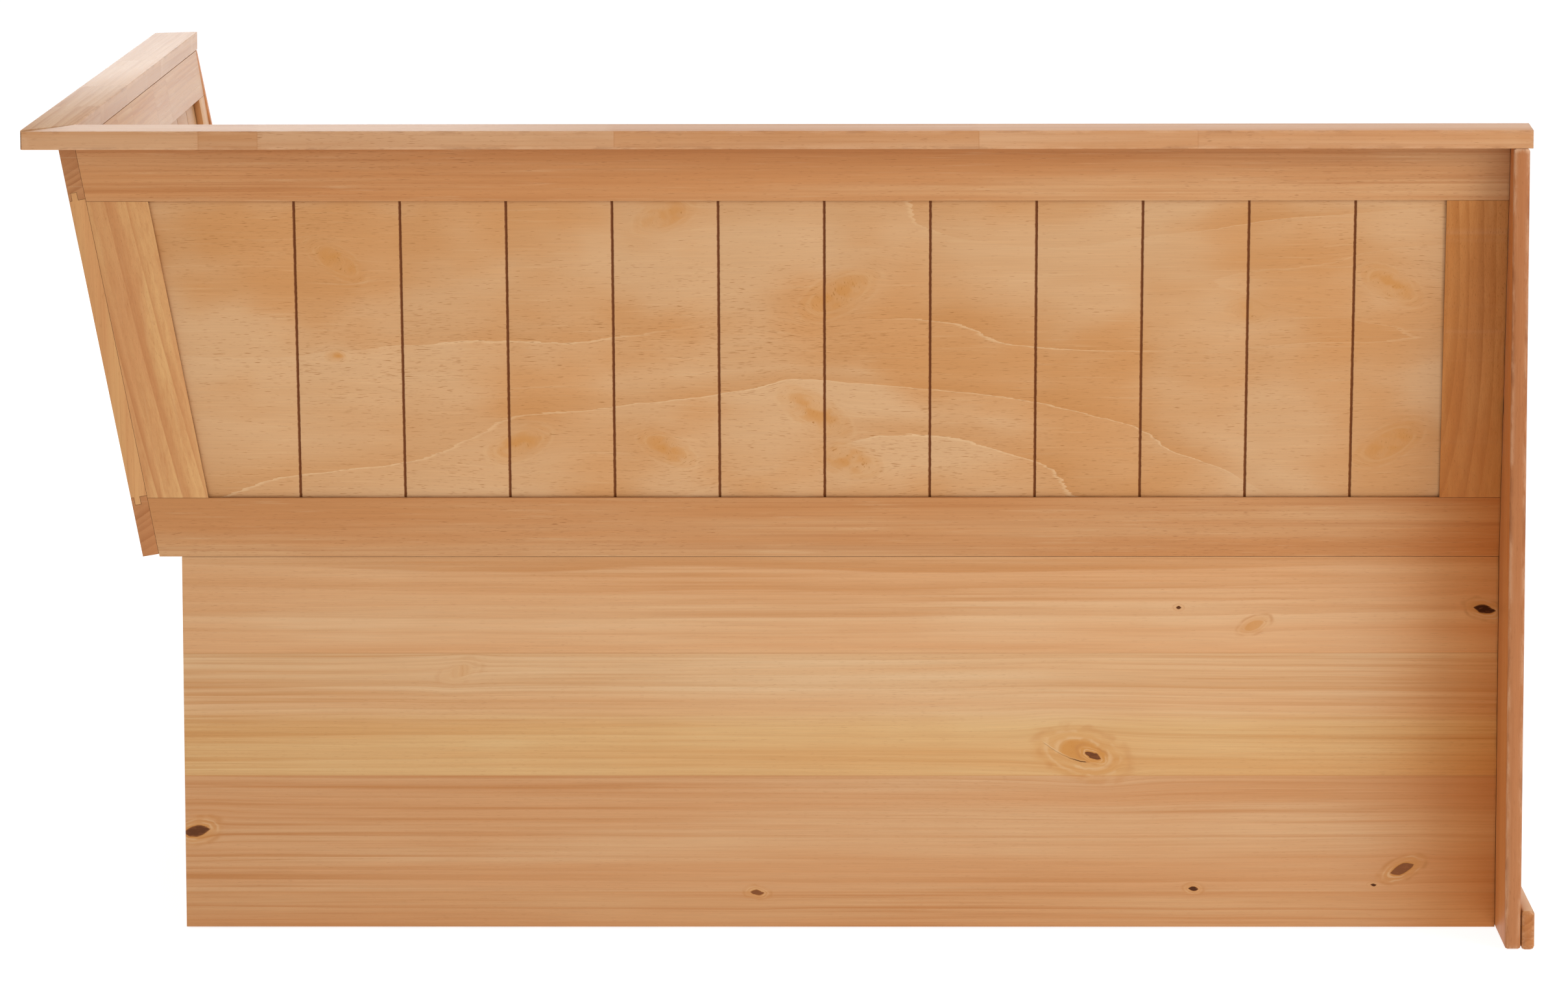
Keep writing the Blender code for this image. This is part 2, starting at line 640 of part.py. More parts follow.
def main():
    clear_scene()
    materials = {
        "pine": make_material("pine", (0.57, 0.27, 0.11), 0.5),
        "raw_pine": make_material("raw_pine", (0.66, 0.42, 0.22), 0.7),
        "plywood": make_material("plywood", (0.62, 0.34, 0.15), 0.55),
        "steel": make_material("steel", (0.56, 0.53, 0.46), 0.35, 1.0),
    }
    origin = make_empty("bench_origin", Vector((0, 0, 0)))
    origin.location = -CENTRE

    def long_corner(height):
        return back_front(height) + GAP

    add_cap("long_cap", long_wing, LONG_LENGTH, LONG_CAP_FALL, materials["pine"], origin)
    add_cap("short_cap", short_wing, SHORT_LENGTH, SHORT_CAP_FALL, materials["pine"], origin)
    add_backrest("long", long_wing, long_corner, LONG_END_IN - GAP, materials, origin)
    add_backrest("short", short_wing, back_rear, SHORT_END_IN - GAP, materials, origin)
    add_end_panel("long_end_panel", long_wing, LONG_END_IN, END_PANEL_REAR_LONG, materials["pine"], origin)
    add_end_panel("short_end_panel", short_wing, SHORT_END_IN, END_PANEL_REAR_SHORT, materials["pine"],
                  origin)
    add_long_box(materials, origin)
    add_short_box(materials, origin)
    add_plinths(materials["pine"], origin)
    add_fixed_seats(materials, origin)

    lids = (("long", long_wing, LONG_LID_START, LONG_LID_END, 0.0),
            ("short", short_wing, SHORT_LID_START, SHORT_LID_END, -math.pi / 2))
    for prefix, wing, start, finish, turn in lids:
        axis_place = wing((start + finish) / 2, HINGE_DEPTH, HINGE_HEIGHT)
        pivot = make_empty(f"{prefix}_lid_pivot", axis_place, turn, origin)
        add_lid(prefix, wing, start, finish, materials, pivot)
        add_hinges(prefix, wing, start, finish, materials["steel"], pivot, origin)


main()
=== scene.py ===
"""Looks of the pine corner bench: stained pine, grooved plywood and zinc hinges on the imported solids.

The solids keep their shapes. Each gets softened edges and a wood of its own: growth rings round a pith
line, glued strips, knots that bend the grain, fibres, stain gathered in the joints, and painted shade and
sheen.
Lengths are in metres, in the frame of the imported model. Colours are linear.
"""
import json
import math
from dataclasses import dataclass

import bpy
from mathutils import Matrix, Vector


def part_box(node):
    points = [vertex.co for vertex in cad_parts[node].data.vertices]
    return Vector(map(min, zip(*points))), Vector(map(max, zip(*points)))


# Sizes that the model's own boxes don't give
BACK_LEAN = math.radians(9.6)
V_GROOVE_PITCH = 0.110
V_GROOVE_WIDTH = 0.0032
V_GROOVE_FIRST = 0.094          # from the end stile to the nearest groove
V_GROOVE_COUNT = {"long": 11, "short": 10}
V_GROOVE_EDGE = (0.45, 0.80)    # shares of its width over which a groove's stain and painted shade end
V_GROOVE_RAG = 0.0012           # how far that end strays

# Softened edges
EDGE_ROUND = 0.0004
JOINT_EDGE_ROUND = 0.00012      # on the pieces of the backrest frames, which meet in tight joints
HINGE_EDGE_ROUND = 0.0002
EDGE_SEGMENTS = 2
FRAME_PIECES = ("cap", "rail", "stile")
SHARP_ANGLE = math.radians(40)
WELD_DISTANCE = 1e-5
FLAT_ANGLE = math.radians(0.3)

# Camera of the photograph, from a fit to the bench
IMAGE_WIDTH = 2417
CAMERA_PLACE = Vector((0.0734, -7.6907, 1.47))
CAMERA_YAW = -0.0102            # towards +X
CAMERA_PITCH = -0.1285
CAMERA_ROLL = -0.0019
CAMERA_FOCAL = 10537.1          # in pixels of the photograph
CAMERA_SHIFT = -120             # in pixels of the photograph
SENSOR_WIDTH = 36.0

# Studio. Lights: name, place, point aimed at, diameter and power
LIGHTS = (
    ("key", (5.0, -4.6, 3.4), (0.0, -0.4, 0.4), 4.2, 190.0),
    ("top", (0.2, -0.6, 4.6), (0.0, -0.2, 0.4), 3.0, 55.0),
    ("back", (0.6, 6.0, 1.6), (0.0, 0.0, 0.7), 5.0, 58.0),
    ("window", (-1.9, 6.0, 1.7), (-0.6, 0.2, 0.8), 2.6, 30.0),
)
WHITE = (1.0, 1.0, 1.0, 1.0)
SKY_STRENGTH = 0.52
FLOOR_HALF = 40.0
FLOOR_GREY = (0.3, 0.3, 0.3, 1.0)
FLOOR_ROUGHNESS = 0.9
FLOOR_GLOW = 0.88

# Grain directions: upright pieces, pieces that run across their wing, and the rest along it
UPRIGHT = ("stile", "end_panel", "divider", "end_wall", "inner_wall")
CROSSWISE = ("end_plinth", "seat_cleat", "lid_batten")
STRIP_WIDTH = 0.105             # of the strips that wide boards are glued from
WIDEST_SINGLE = 0.16            # boards up to this width are one strip
FACING = (0.80, 0.95)           # part of a normal along an axis from which a face counts as facing it

# Stain, wear, and painted shade and sheen
# stain and painted shade gathered in corners and joints
GRIME_AND_SHADE = (0.15, 0.050, 0.012)
# stain and painted shade of the panels' grooves, which the mesh doesn't have
GROOVE_STAIN_AND_SHADE = (0.150, 0.036, 0.005)
PALE_LINE = (0.70, 0.46, 0.25)
WORN_EDGE = (0.74, 0.47, 0.29)
SCUFF = (0.16, 0.046, 0.016)
CORNER_SHADE = (1.06, 0.82, 0.53)       # painted shade beside the end panel, warmed as by light thrown back from it
CORNER_SHADE_WIDTH = 0.16
CORNER_SHADE_PIECES = ("long_back_board", "long_bottom_rail")
END_GRAIN_TINT = (0.88, 0.84, 0.88)     # sawn ends take more stain
DARK_STILE_TINTS = ((1.00, 1.06, 1.28), (0.95, 0.87, 0.80))     # corner side, end side: the end side darker as painted shade from the end panel
REAR_STRIP_SHADE = (0.955, 0.80, 0.66)   # painted shade: the end panels' strip beside the back boards is darker
REAR_STRIP = 0.112
EDGE_STAIN = (0.87, 1.00, 1.45)         # the end panels' sawn edges are greyer
EDGE_STAIN_DEPTH = 0.003
TINT_EDGE = 0.001                       # half the width over which these two tints end
PLINTH_TOP_SHEEN = (0.76, 0.47, 0.27)         # painted sheen: the plinths' tops are paler
# Painted sheen: the short wing's cap and top rail are paler and greyer, as under glare
SHORT_WING_SHEEN = (0.95, 1.02, 1.08)
SHORT_WING_SHEEN_PIECES = ("short_cap", "short_top_rail")

# Shares of one colour in another
CLOUD_SHARE = 0.35
END_RING_SHARE = 0.85
FINE_STREAK_SHARE = 0.75
BROAD_STREAK_SHARE = 0.55
FIBRE_SHARE = 0.18
FLECK_SHADE = 0.72                      # of the late wood's colour
STRIP_STEP = 0.10                       # spread of the tones of glued strips
FINGER_STEP = 0.04                      # the same, of finger-jointed lengths
GLUE_SHARE = 0.35
GLUE_SHARES = {"short_top_rail": 0.85}  # pieces whose joints show more
GROOVE_SHARE = 0.95
PLINTH_TOP_SHEEN_SHARE = 0.8

# Gloss and relief of the wood
SPECULAR = 0.12
FIBRE_ROUGHNESS = 0.12                  # added on the fibres
FIBRE_POLISH = 0.05                     # taken off between them
BUMP_STRENGTH = 0.30
BUMP_DEPTH = 0.0004
GRAIN_RELIEF = 0.35                     # beside that of the fibres

# Stain and painted shade in corners, and wear on edges, by how much is hidden within a short reach
EDGE_REACH = 0.006
EDGE_SAMPLES = 6
CREVICE_OPEN = (0.22, 0.72)
CREVICE_LEAST = 0.35
EDGE_OPEN = (0.64, 0.92)

# Zinc-plated steel
STEEL_BRIGHT = (0.60, 0.58, 0.52)
STEEL_DULL = (0.46, 0.43, 0.36)
# the hinges are darker in their corners and joints
STEEL_HOLLOW_DARK = (0.10, 0.085, 0.065)
STEEL_HOLLOW_DARK_SHARE = 0.6
STEEL_BRUSH_ACROSS = 2600.0             # brush marks in cycles per metre
STEEL_BRUSH_ALONG = 60.0
STEEL_CLOUD_SCALE = 90.0                # dull clouds, in cycles per metre
STEEL_CLOUD_DETAIL = 3.0
STEEL_CLOUD_RANGE = (0.35, 0.70)
STEEL_ROUGHNESS = 0.26
STEEL_BRUSH_ROUGHNESS = 0.22
STEEL_BUMP_STRENGTH = 0.15
STEEL_BUMP_DEPTH = 0.0001


@dataclass
class Pattern:
    """Noise, and the two of its values that a mask made from it rises between."""
    scale: tuple                # cycles per metre along, across and through a board
    detail: float = 2.0
    roughness: float = 0.5
    low: float = 0.0
    high: float = 1.0


RING_DRIFT = Pattern((0.9, 5.0, 5.0), 2.5, 0.45)
RING_SHIVER = Pattern((7.0, 60.0, 60.0), 1.0)
RING_SPREAD = Pattern((1.0, 1.0, 1.0))
BANDS = Pattern((0.9, 26.0, 26.0), 3.0, 0.55, low=0.36, high=0.64)
CLOUDS = Pattern((5.5, 9.0, 9.0), 2.5, low=0.36, high=0.66)
LIVELINESS = Pattern((1.3, 8.0, 8.0), 1.5, low=0.34, high=0.66)
FINE_STREAKS = Pattern((2.6, 330.0, 330.0), 3.0, 0.62, low=0.44, high=0.74)
BROAD_STREAKS = Pattern((1.9, 115.0, 115.0), 2.0, 0.55, low=0.48, high=0.72)
PALE_STREAKS = Pattern((11.0, 290.0, 0.0), 2.0, 0.6, low=0.55, high=0.80)
FIBRES = Pattern((16.0, 950.0, 950.0), 2.0, 0.6)
FLECKS = Pattern((95.0, 1500.0, 1500.0), 1.0, low=0.75, high=0.87)
FLECK_CLUSTERS = Pattern((2.4, 9.0, 9.0))
VENEER_FIELD = Pattern((0.85, 3.6, 0.0), 2.4, 0.45)
VENEER_RAGS = Pattern((26.0, 170.0, 0.0), 3.0, 0.65)
VENEER_LIVELY = Pattern((2.6, 6.0, 0.0), 1.0, low=0.40, high=0.62)
VENEER_LAYERS = Pattern((1.5, 15.0, 0.0), 2.5, low=0.45, high=0.72)
KNOT_WAVES = Pattern((60.0, 90.0, 1.0), 1.0)
KNOT_TEARS = Pattern((170.0, 260.0, 1.0))
KNOT_BREAKS = Pattern((55.0, 80.0, 2.0), 1.0, low=0.38, high=0.60)
KNOT_SPLITS = Pattern((150.0, 380.0, 1.0), 3.0, low=0.50, high=0.72)
CRACK_RAGS = Pattern((210.0, 1.0, 1.0))
GROOVE_RAGS = Pattern((300.0, 260.0, 1.0))
CREVICE_PATCHES = Pattern((38.0, 38.0, 38.0), low=0.30, high=0.62)
BARE_PATCHES = Pattern((22.0, 90.0, 90.0), 4.0, 0.65, low=0.42, high=0.60)
SCUFF_PATCHES = Pattern((19.0, 110.0, 110.0), 4.0, 0.7, low=0.50, high=0.60)

# Growth rings
RING_RISE = (0.15, 0.94)        # part of a ring over which the late wood darkens
RING_FALL = (0.94, 1.00)        # part over which it ends
RING_LEAST = 0.12               # late wood of the faintest rings
RING_SHIVER_SIZE = 0.0012
RING_SPREAD_SCALE = 40.0        # changes of the rings' spacing, in cycles per metre
RING_SPREAD_SIZE = 3.0          # in rings
PITH_JUMPS = (0.06, 0.03)       # how far the pith line moves from strip to strip, across and behind
STRIP_SHIFT = 5.0               # how far the grain moves along from strip to strip
LIVELY_RANGE = (0.45, 1.35)
FLECK_CLUSTERING = 0.22

# Steps that keep each node's random values apart
STRIP_SEED = 7.0
RING_SEED = 11.0
SPREAD_SEED = 3.1
SHIFT_SEED = 1.37

# Veneer: contour lines of a smooth field, closer at the end stile than at the corner
CONTOUR_CROWD = (6.0, 12.0)
CONTOUR_CROWD_SPAN = (0.45, 0.95)       # shares of the panel's length between which they crowd
CONTOUR_SLOPE = 8.0                     # contours per metre across
CONTOUR_RAG = 0.09
CONTOUR_FADE = 0.50                     # part of a contour over which its shade fades
CONTOUR_FAINTEST = 0.25
CONTOUR_LINE = (0.976, 0.992)           # part where the pale line is
CONTOUR_LINE_SHARE = 0.50
LAYER_SHARE = 0.6


@dataclass
class Wood:
    """How one kind of board looks."""
    early: tuple                # pale wood between the rings
    late: tuple                 # dark wood of the rings
    warm: tuple                 # tone of the broad bands along the board
    ring: float = 0.0075        # mean spacing of the growth rings
    contrast: float = 0.42      # share of the late wood's colour in the rings
    wander: float = 0.007       # how far a ring strays along the board
    pith: tuple = (0.24, 0.10)  # pith line from the middle of the board, across and behind it
    streak: float = 0.38        # strength of the long fine streaks
    open: float = 0.12          # strength of the short pale streaks of open fibres
    fleck: float = 0.45         # strength of the short dark fibres
    roughness: float = 0.40     # of the surface
    wear: float = 0.0           # bare wood on the edges
    grime_and_shade: float = 0.75         # stain and painted shade in the corners and joints


# The caps' worn edges stand partly for wear and partly for a painted highlight along their arrises.
CAP = Wood((0.595, 0.335, 0.175), (0.445, 0.185, 0.066), (0.545, 0.268, 0.118), contrast=0.45,
           streak=0.55, open=0.25, fleck=0.8, wear=0.3, grime_and_shade=0.35)
RAIL = Wood((0.61, 0.338, 0.158), (0.42, 0.160, 0.050), (0.54, 0.238, 0.086), contrast=0.36,
            streak=0.50, open=0.26, fleck=0.6, grime_and_shade=0.5)
STILE = Wood((0.64, 0.355, 0.142), (0.47, 0.190, 0.066), (0.58, 0.275, 0.108), ring=0.012, contrast=0.80,
             wander=0.005, pith=(0.30, 0.05))
# The end stile's darker wood is partly its own tone and partly painted shade from the end panel beside it.
DARK_STILE = Wood((0.61, 0.262, 0.068), (0.37, 0.114, 0.018), (0.52, 0.184, 0.038), ring=0.011, contrast=0.72,
                  wander=0.030, pith=(0.015, 0.02))
BOARD = Wood((0.645, 0.392, 0.198), (0.48, 0.203, 0.062), (0.605, 0.320, 0.142), contrast=0.52, wander=0.010,
             streak=0.52, fleck=0.3)
END = Wood((0.60, 0.280, 0.100), (0.43, 0.150, 0.040), (0.535, 0.216, 0.068), wear=0.75, grime_and_shade=0.4)
RAW = Wood((0.66, 0.460, 0.260), (0.53, 0.290, 0.120), (0.62, 0.385, 0.190), contrast=0.6, roughness=0.62)
VENEER = Wood((0.595, 0.352, 0.178), (0.48, 0.203, 0.054), (0.550, 0.272, 0.106), contrast=0.50, open=0.22,
              fleck=0.80)


@dataclass
class Knot:
    """A knot, placed along and across its board from the board's low corner."""
    along: float
    across: float
    radius: float
    lean: float                 # how steeply it drops along the board
    dark: float                 # darkness of its core, 0 without one
    stain: float                # strength of its stained body


KNOTS = {
    "long_back_board": (
        Knot(1.370, 0.340, 0.0054, 0.20, 1.00, 0.7), Knot(0.9490, 0.1862, 0.0125, 0.22, 0.00, 0.8),
        Knot(0.9595, 0.1840, 0.0043, 0.38, 0.72, 0.8), Knot(1.2865, 0.0625, 0.0062, -0.38, 0.45, 0.9),
        Knot(0.012, 0.103, 0.0068, -0.15, 0.80, 0.8), Knot(1.066, 0.041, 0.0029, 0.00, 0.95, 0.6),
        Knot(0.605, 0.037, 0.0034, 0.10, 0.50, 0.6), Knot(1.049, 0.342, 0.0016, 0.00, 0.90, 0.4),
        Knot(1.128, 0.323, 0.0045, -0.30, 0.00, 0.6), Knot(0.292, 0.274, 0.0060, -0.30, 0.00, 0.2),
        Knot(1.256, 0.045, 0.0017, 0.00, 0.95, 0.4),
    ),
    "long_front_board": (
        Knot(0.210, 0.300, 0.0070, 0.20, 0.9, 0.8), Knot(0.640, 0.110, 0.0090, -0.30, 0.5, 0.8),
        Knot(0.870, 0.265, 0.0040, 0.00, 0.9, 0.7),
    ),
    "short_front_board": (
        Knot(0.180, 0.130, 0.0080, -0.20, 0.6, 0.8), Knot(0.560, 0.320, 0.0050, 0.20, 0.9, 0.7),
    ),
    "long_seat_lid": (
        Knot(0.300, 0.110, 0.0060, 0.10, 0.8, 0.8), Knot(0.760, 0.260, 0.0080, -0.40, 0.5, 0.8),
    ),
    "short_seat_lid": (
        Knot(0.240, 0.270, 0.0070, 0.30, 0.6, 0.8), Knot(0.600, 0.120, 0.0050, 0.00, 0.9, 0.7),
    ),
    "long_end_panel": (
        Knot(0.250, 0.330, 0.0080, 0.20, 0.7, 0.8), Knot(0.560, 0.080, 0.0050, 0.00, 0.9, 0.7),
    ),
    "short_end_panel": (
        Knot(0.320, 0.250, 0.0060, -0.20, 0.8, 0.8), Knot(0.110, 0.420, 0.0080, 0.30, 0.6, 0.8),
    ),
    "corner_seat_board": (
        Knot(0.150, 0.200, 0.0070, 0.20, 0.7, 0.8),
    ),
    "long_grooved_panel": (
        Knot(0.200, 0.160, 0.0040, 0.10, 0.0, 0.95), Knot(0.203, 0.262, 0.0100, 0.50, 0.0, 0.60),
        Knot(0.390, 0.065, 0.0110, -0.30, 0.0, 0.75), Knot(0.545, 0.060, 0.0100, 0.40, 0.0, 0.70),
        Knot(0.700, 0.100, 0.0130, 0.50, 0.0, 0.75), Knot(0.726, 0.227, 0.0140, -0.40, 0.0, 0.65),
        Knot(0.735, 0.048, 0.0120, 0.20, 0.0, 0.70), Knot(0.545, 0.310, 0.0110, -0.30, 0.0, 0.60),
        Knot(1.150, 0.208, 0.0080, 0.10, 0.0, 0.40), Knot(1.300, 0.235, 0.0110, 0.40, 0.0, 0.70),
        Knot(1.300, 0.065, 0.0120, -0.40, 0.0, 0.65),
    ),
    "short_grooved_panel": (
        Knot(0.330, 0.210, 0.0110, 0.60, 0.0, 0.60), Knot(0.820, 0.120, 0.0110, -0.60, 0.0, 0.60),
    ),
}
KNOT_CORE = (0.055, 0.014, 0.003)
KNOT_RED = (0.36, 0.125, 0.040)
KNOT_BODY = (0.54, 0.225, 0.045)
KNOT_SQUEEZE = 0.55             # a knot is longer along the grain, by 1 over this
KNOT_BOW = 0.70                 # how soon the core's two sides close to a point
KNOT_WAVE_SIZE = (0.005, 0.0025)        # along and across the board
KNOT_TEAR_SIZE = (0.0025, 0.0018)

# Parts of a knot, from and to so many radii from its middle. Rims: rise, fall and strength
CORE_EDGE = (0.82, 1.0)
DEEP_EDGE = (0.55, 1.1)
DEEP_LEAST = 0.45               # share of the darkness that is left at the core's edge
BODY_EDGE = (0.92, 1.15)
BODY_SHARE = 0.45
BODY_FADE = (0.9, 2.7)
BODY_FADE_SHARE = 0.52
VENEER_BODY_FADE = (0.1, 2.2)
VENEER_BODY_WHOLE = 0.45        # share of a veneer knot's stain that isn't broken up
PALE_RIMS = (((1.10, 1.22), (1.24, 1.45), 1.0), ((1.62, 1.76), (1.78, 2.00), 0.8))
PALE_RIM_SHARE = 0.55
VENEER_RIM_SHARE = 0.4
BROWN_RIM = ((1.90, 2.20), (2.25, 2.80), 1.0)
BROWN_RIM_SHARE = 0.75
BROWN_RIM_RADIUS = 0.006        # larger knots have fainter brown rims
SPLIT_SHARE = 0.25

# Cracks beside knots: start and finish along and across the board, and how far the crack sags between them
KNOT_CRACKS = {"long_back_board": ((0.9055, 0.1992), (0.9534, 0.1767), 0.0043)}
CRACK_ENDS = ((0.0, 0.08), (0.94, 1.0))         # shares of its length over which the crack opens and closes
CRACK_RAG = 0.0016
CRACK_SLIT = (0.0003, 0.0008)                   # half widths of the dark slit, sharp and soft
CRACK_SLIT_RUN = (0.50, 0.80, 0.30, 1.0)        # it darkens along the crack
CRACK_SLIT_SHARE = 0.85
CRACK_LIP = (0.0003, 0.0010)                    # half widths of the pale lip
CRACK_LIP_HEIGHT = 0.0010
CRACK_LIP_RUN = (0.25, 0.65, 1.0, 0.35)         # it fades along the crack
CRACK_LIP_SHARE = 0.55
CRACK_MARGINS = (0.015, 0.03)                   # how far before and past the crack the stain is cut
CRACK_CUT = 0.0006                              # half the width of the cut
CRACK_CUT_DEPTH = (-0.024, -0.016)              # heights from the crack between which the cut begins
CRACK_STAIN = 0.26                              # stain that is left where it is cut

# The long back board's glued seams, as heights, and its tints: height where each begins, soft edge, colour
BACK_BOARD_SEAMS = (0.040, 0.165, 0.296)
BACK_BOARD_LOWEST_TINT = (0.90, 0.80, 0.73)
BACK_BOARD_TINTS = (
    (0.040, 0.0005, (0.95, 0.91, 0.91)),
    (0.165, 0.0005, (1.02, 1.05, 0.95)),
    (0.228, 0.0140, (1.06, 1.14, 1.25)),
    (0.296, 0.0005, (1.07, 1.08, 1.14)),
)

# Finger joints, as places along the piece, and the size of their fingers
FINGER_JOINTS = {
    "long_cap": (0.182, 0.243, 0.610, 0.985, 1.210),
    "short_cap": (0.290, 0.560, 0.930),
    "short_top_rail": (0.405, 0.560, 0.795, 0.940),
}
FINGER_LENGTH = 0.010
FINGER_PITCH = 0.007
GLUE_LINE = (0.0003, 0.0011)    # half widths of a glue line, sharp and soft


# Node graphs

class Graph:
    """Short names for adding nodes to one tree."""

    def __init__(self, tree):
        self.tree = tree

    def add(self, kind, **settings):
        node = self.tree.nodes.new(kind)
        for key, value in settings.items():
            setattr(node, key, value)
        return node

    def feed(self, socket, value):
        """Link a socket, or set it where the value is a constant."""
        if isinstance(value, bpy.types.NodeSocket):
            self.tree.links.new(value, socket)
        elif socket.type == "RGBA" and len(value) == 3:
            socket.default_value = (*value, 1.0)
        else:
            socket.default_value = value

    def math(self, operation, first, second=0.0):
        node = self.add("ShaderNodeMath", operation=operation)
        self.feed(node.inputs[0], first)
        self.feed(node.inputs[1], second)
        return node.outputs[0]

    def plus(self, *values):
        result = values[0]
        for value in values[1:]:
            result = self.math("ADD", result, value)
        return result

    def times(self, *values):
        result = values[0]
        for value in values[1:]:
            result = self.math("MULTIPLY", result, value)
        return result

    def minus(self, first, second):
        return self.math("SUBTRACT", first, second)

    def apart(self, first, second):
        """Distance between two values."""
        return self.math("ABSOLUTE", self.minus(first, second))

    def largest(self, values):
        """The largest of some values, or None without any."""
        result = None
        for value in values:
            result = value if result is None else self.math("MAXIMUM", result, value)
        return result

    def ramp(self, value, low, high, start=0.0, finish=1.0):
        """Smooth step from start to finish as the value goes from low to high."""
        node = self.add("ShaderNodeMapRange", interpolation_type="SMOOTHSTEP")
        for socket, setting in zip(node.inputs[:5], (value, low, high, start, finish)):
            self.feed(socket, setting)
        return node.outputs[0]

    def fall(self, value, low, high, top=1.0):
        """Smooth step down to 0."""
        return self.ramp(value, low, high, top, 0.0)

    def ridge(self, value, rise, fall, top=1.0):
        """Smooth step up and down again."""
        return self.times(self.ramp(value, *rise), self.fall(value, *fall, top))

    def vector(self, *parts):
        node = self.add("ShaderNodeCombineXYZ")
        for socket, part in zip(node.inputs, parts):
            self.feed(socket, part)
        return node.outputs[0]

    def parts(self, vector):
        node = self.add("ShaderNodeSeparateXYZ")
        self.feed(node.inputs[0], vector)
        return node.outputs[:3]

    def noise(self, vector, pattern):
        """Noise from 0 to 1."""
        node = self.add("ShaderNodeTexNoise")
        self.feed(node.inputs["Vector"], self.product(vector, pattern.scale))
        self.feed(node.inputs["Scale"], 1.0)
        self.feed(node.inputs["Detail"], pattern.detail)
        self.feed(node.inputs["Roughness"], pattern.roughness)
        return node.outputs["Fac"]

    def swing(self, vector, pattern):
        """Noise to both sides of 0."""
        return self.plus(self.noise(vector, pattern), -0.5)

    def mask(self, vector, pattern, start=0.0, finish=1.0):
        """Noise stretched from start to finish."""
        return self.ramp(self.noise(vector, pattern), pattern.low, pattern.high, start, finish)

    def chance(self, value):
        """Three values from 0 to 1 that jump with each whole number."""
        node = self.add("ShaderNodeTexWhiteNoise", noise_dimensions="1D")
        self.feed(node.inputs["W"], value)
        return self.parts(node.outputs["Color"])

    def mix(self, share, first, second):
        node = self.add("ShaderNodeMix", data_type="RGBA", clamp_factor=True)
        self.feed(node.inputs["Factor"], share)
        self.feed(node.inputs[6], first)
        self.feed(node.inputs[7], second)
        return node.outputs[2]

    def product(self, first, second):
        node = self.add("ShaderNodeVectorMath", operation="MULTIPLY")
        self.feed(node.inputs[0], first)
        self.feed(node.inputs[1], second)
        return node.outputs[0]

    def scale(self, colour, factor):
        node = self.add("ShaderNodeVectorMath", operation="SCALE")
        self.feed(node.inputs[0], colour)
        self.feed(node.inputs["Scale"], factor)
        return node.outputs[0]

    def bump(self, height, strength, depth):
        """Normal of a relief."""
        node = self.add("ShaderNodeBump")
        self.feed(node.inputs["Strength"], strength)
        self.feed(node.inputs["Distance"], depth)
        self.feed(node.inputs["Height"], height)
        return node.outputs[0]


def knot_group():
    """Node group of one knot: how it pushes the grain aside, and how many radii away a point is.

    Reach grows in ellipses, and Almond in shapes with pointed ends.
    """
    tree = bpy.data.node_groups.new("knot", "ShaderNodeTree")
    for name in ("Along", "Across", "Centre Along", "Centre Across", "Radius", "Lean"):
        tree.interface.new_socket(name, in_out="INPUT", socket_type="NodeSocketFloat")
    for name in ("Push", "Reach", "Almond"):
        tree.interface.new_socket(name, in_out="OUTPUT", socket_type="NodeSocketFloat")
    g = Graph(tree)
    given = g.add("NodeGroupInput").outputs
    beside = g.minus(given["Along"], given["Centre Along"])
    above = g.minus(given["Across"], given["Centre Across"])
    above = g.plus(above, g.times(beside, given["Lean"]))
    beside = g.times(beside, KNOT_SQUEEZE)
    square = g.plus(g.times(beside, beside), g.times(above, above))
    core = g.times(given["Radius"], given["Radius"])
    share = g.math("DIVIDE", core, g.math("MAXIMUM", square, core))
    height = g.math("DIVIDE", g.math("ABSOLUTE", above), given["Radius"])
    bow = g.math("DIVIDE", g.times(beside, beside, KNOT_BOW), core)
    result = g.add("NodeGroupOutput")
    g.feed(result.inputs["Push"], g.times(above, share, -1.0))
    g.feed(result.inputs["Reach"], g.math("SQRT", g.math("DIVIDE", square, core)))
    g.feed(result.inputs["Almond"], g.plus(height, bow))
    return tree


# Boards

def grain_axis(name):
    """Axis of a wooden node's grain, as 0, 1 or 2."""
    if any(word in name for word in UPRIGHT):
        return 2
    wing = 1 if name.startswith("short") else 0
    if any(word in name for word in CROSSWISE):
        return 1 - wing
    return wing


def board_axes(name):
    """Axes of a wooden node along its grain, across its face and through its thickness."""
    low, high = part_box(name)
    along = grain_axis(name)
    others = [axis for axis in range(3) if axis != along]
    across, through = sorted(others, key=lambda axis: low[axis] - high[axis])
    return along, across, through


def wood_of(name, slot):
    """The kind of wood of a node."""
    if slot == "raw_pine":
        return RAW
    if slot == "plywood":
        return VENEER
    if "cap" in name:
        return CAP
    if name == "long_end_stile":
        return DARK_STILE
    if "stile" in name:
        return STILE
    if "end_panel" in name or "plinth" in name:
        return END
    if "board" in name or "lid" in name or "wall" in name:
        return BOARD
    return RAIL


def seams_of(name, across):
    """Places of the glued seams across a board, from its low corner."""
    low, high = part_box(name)
    width = high[across] - low[across]
    if name == "long_back_board":
        return [height - low[across] for height in BACK_BOARD_SEAMS]
    if width <= WIDEST_SINGLE:
        return []
    count = round(width / STRIP_WIDTH)
    return [width * index / count for index in range(1, count)]


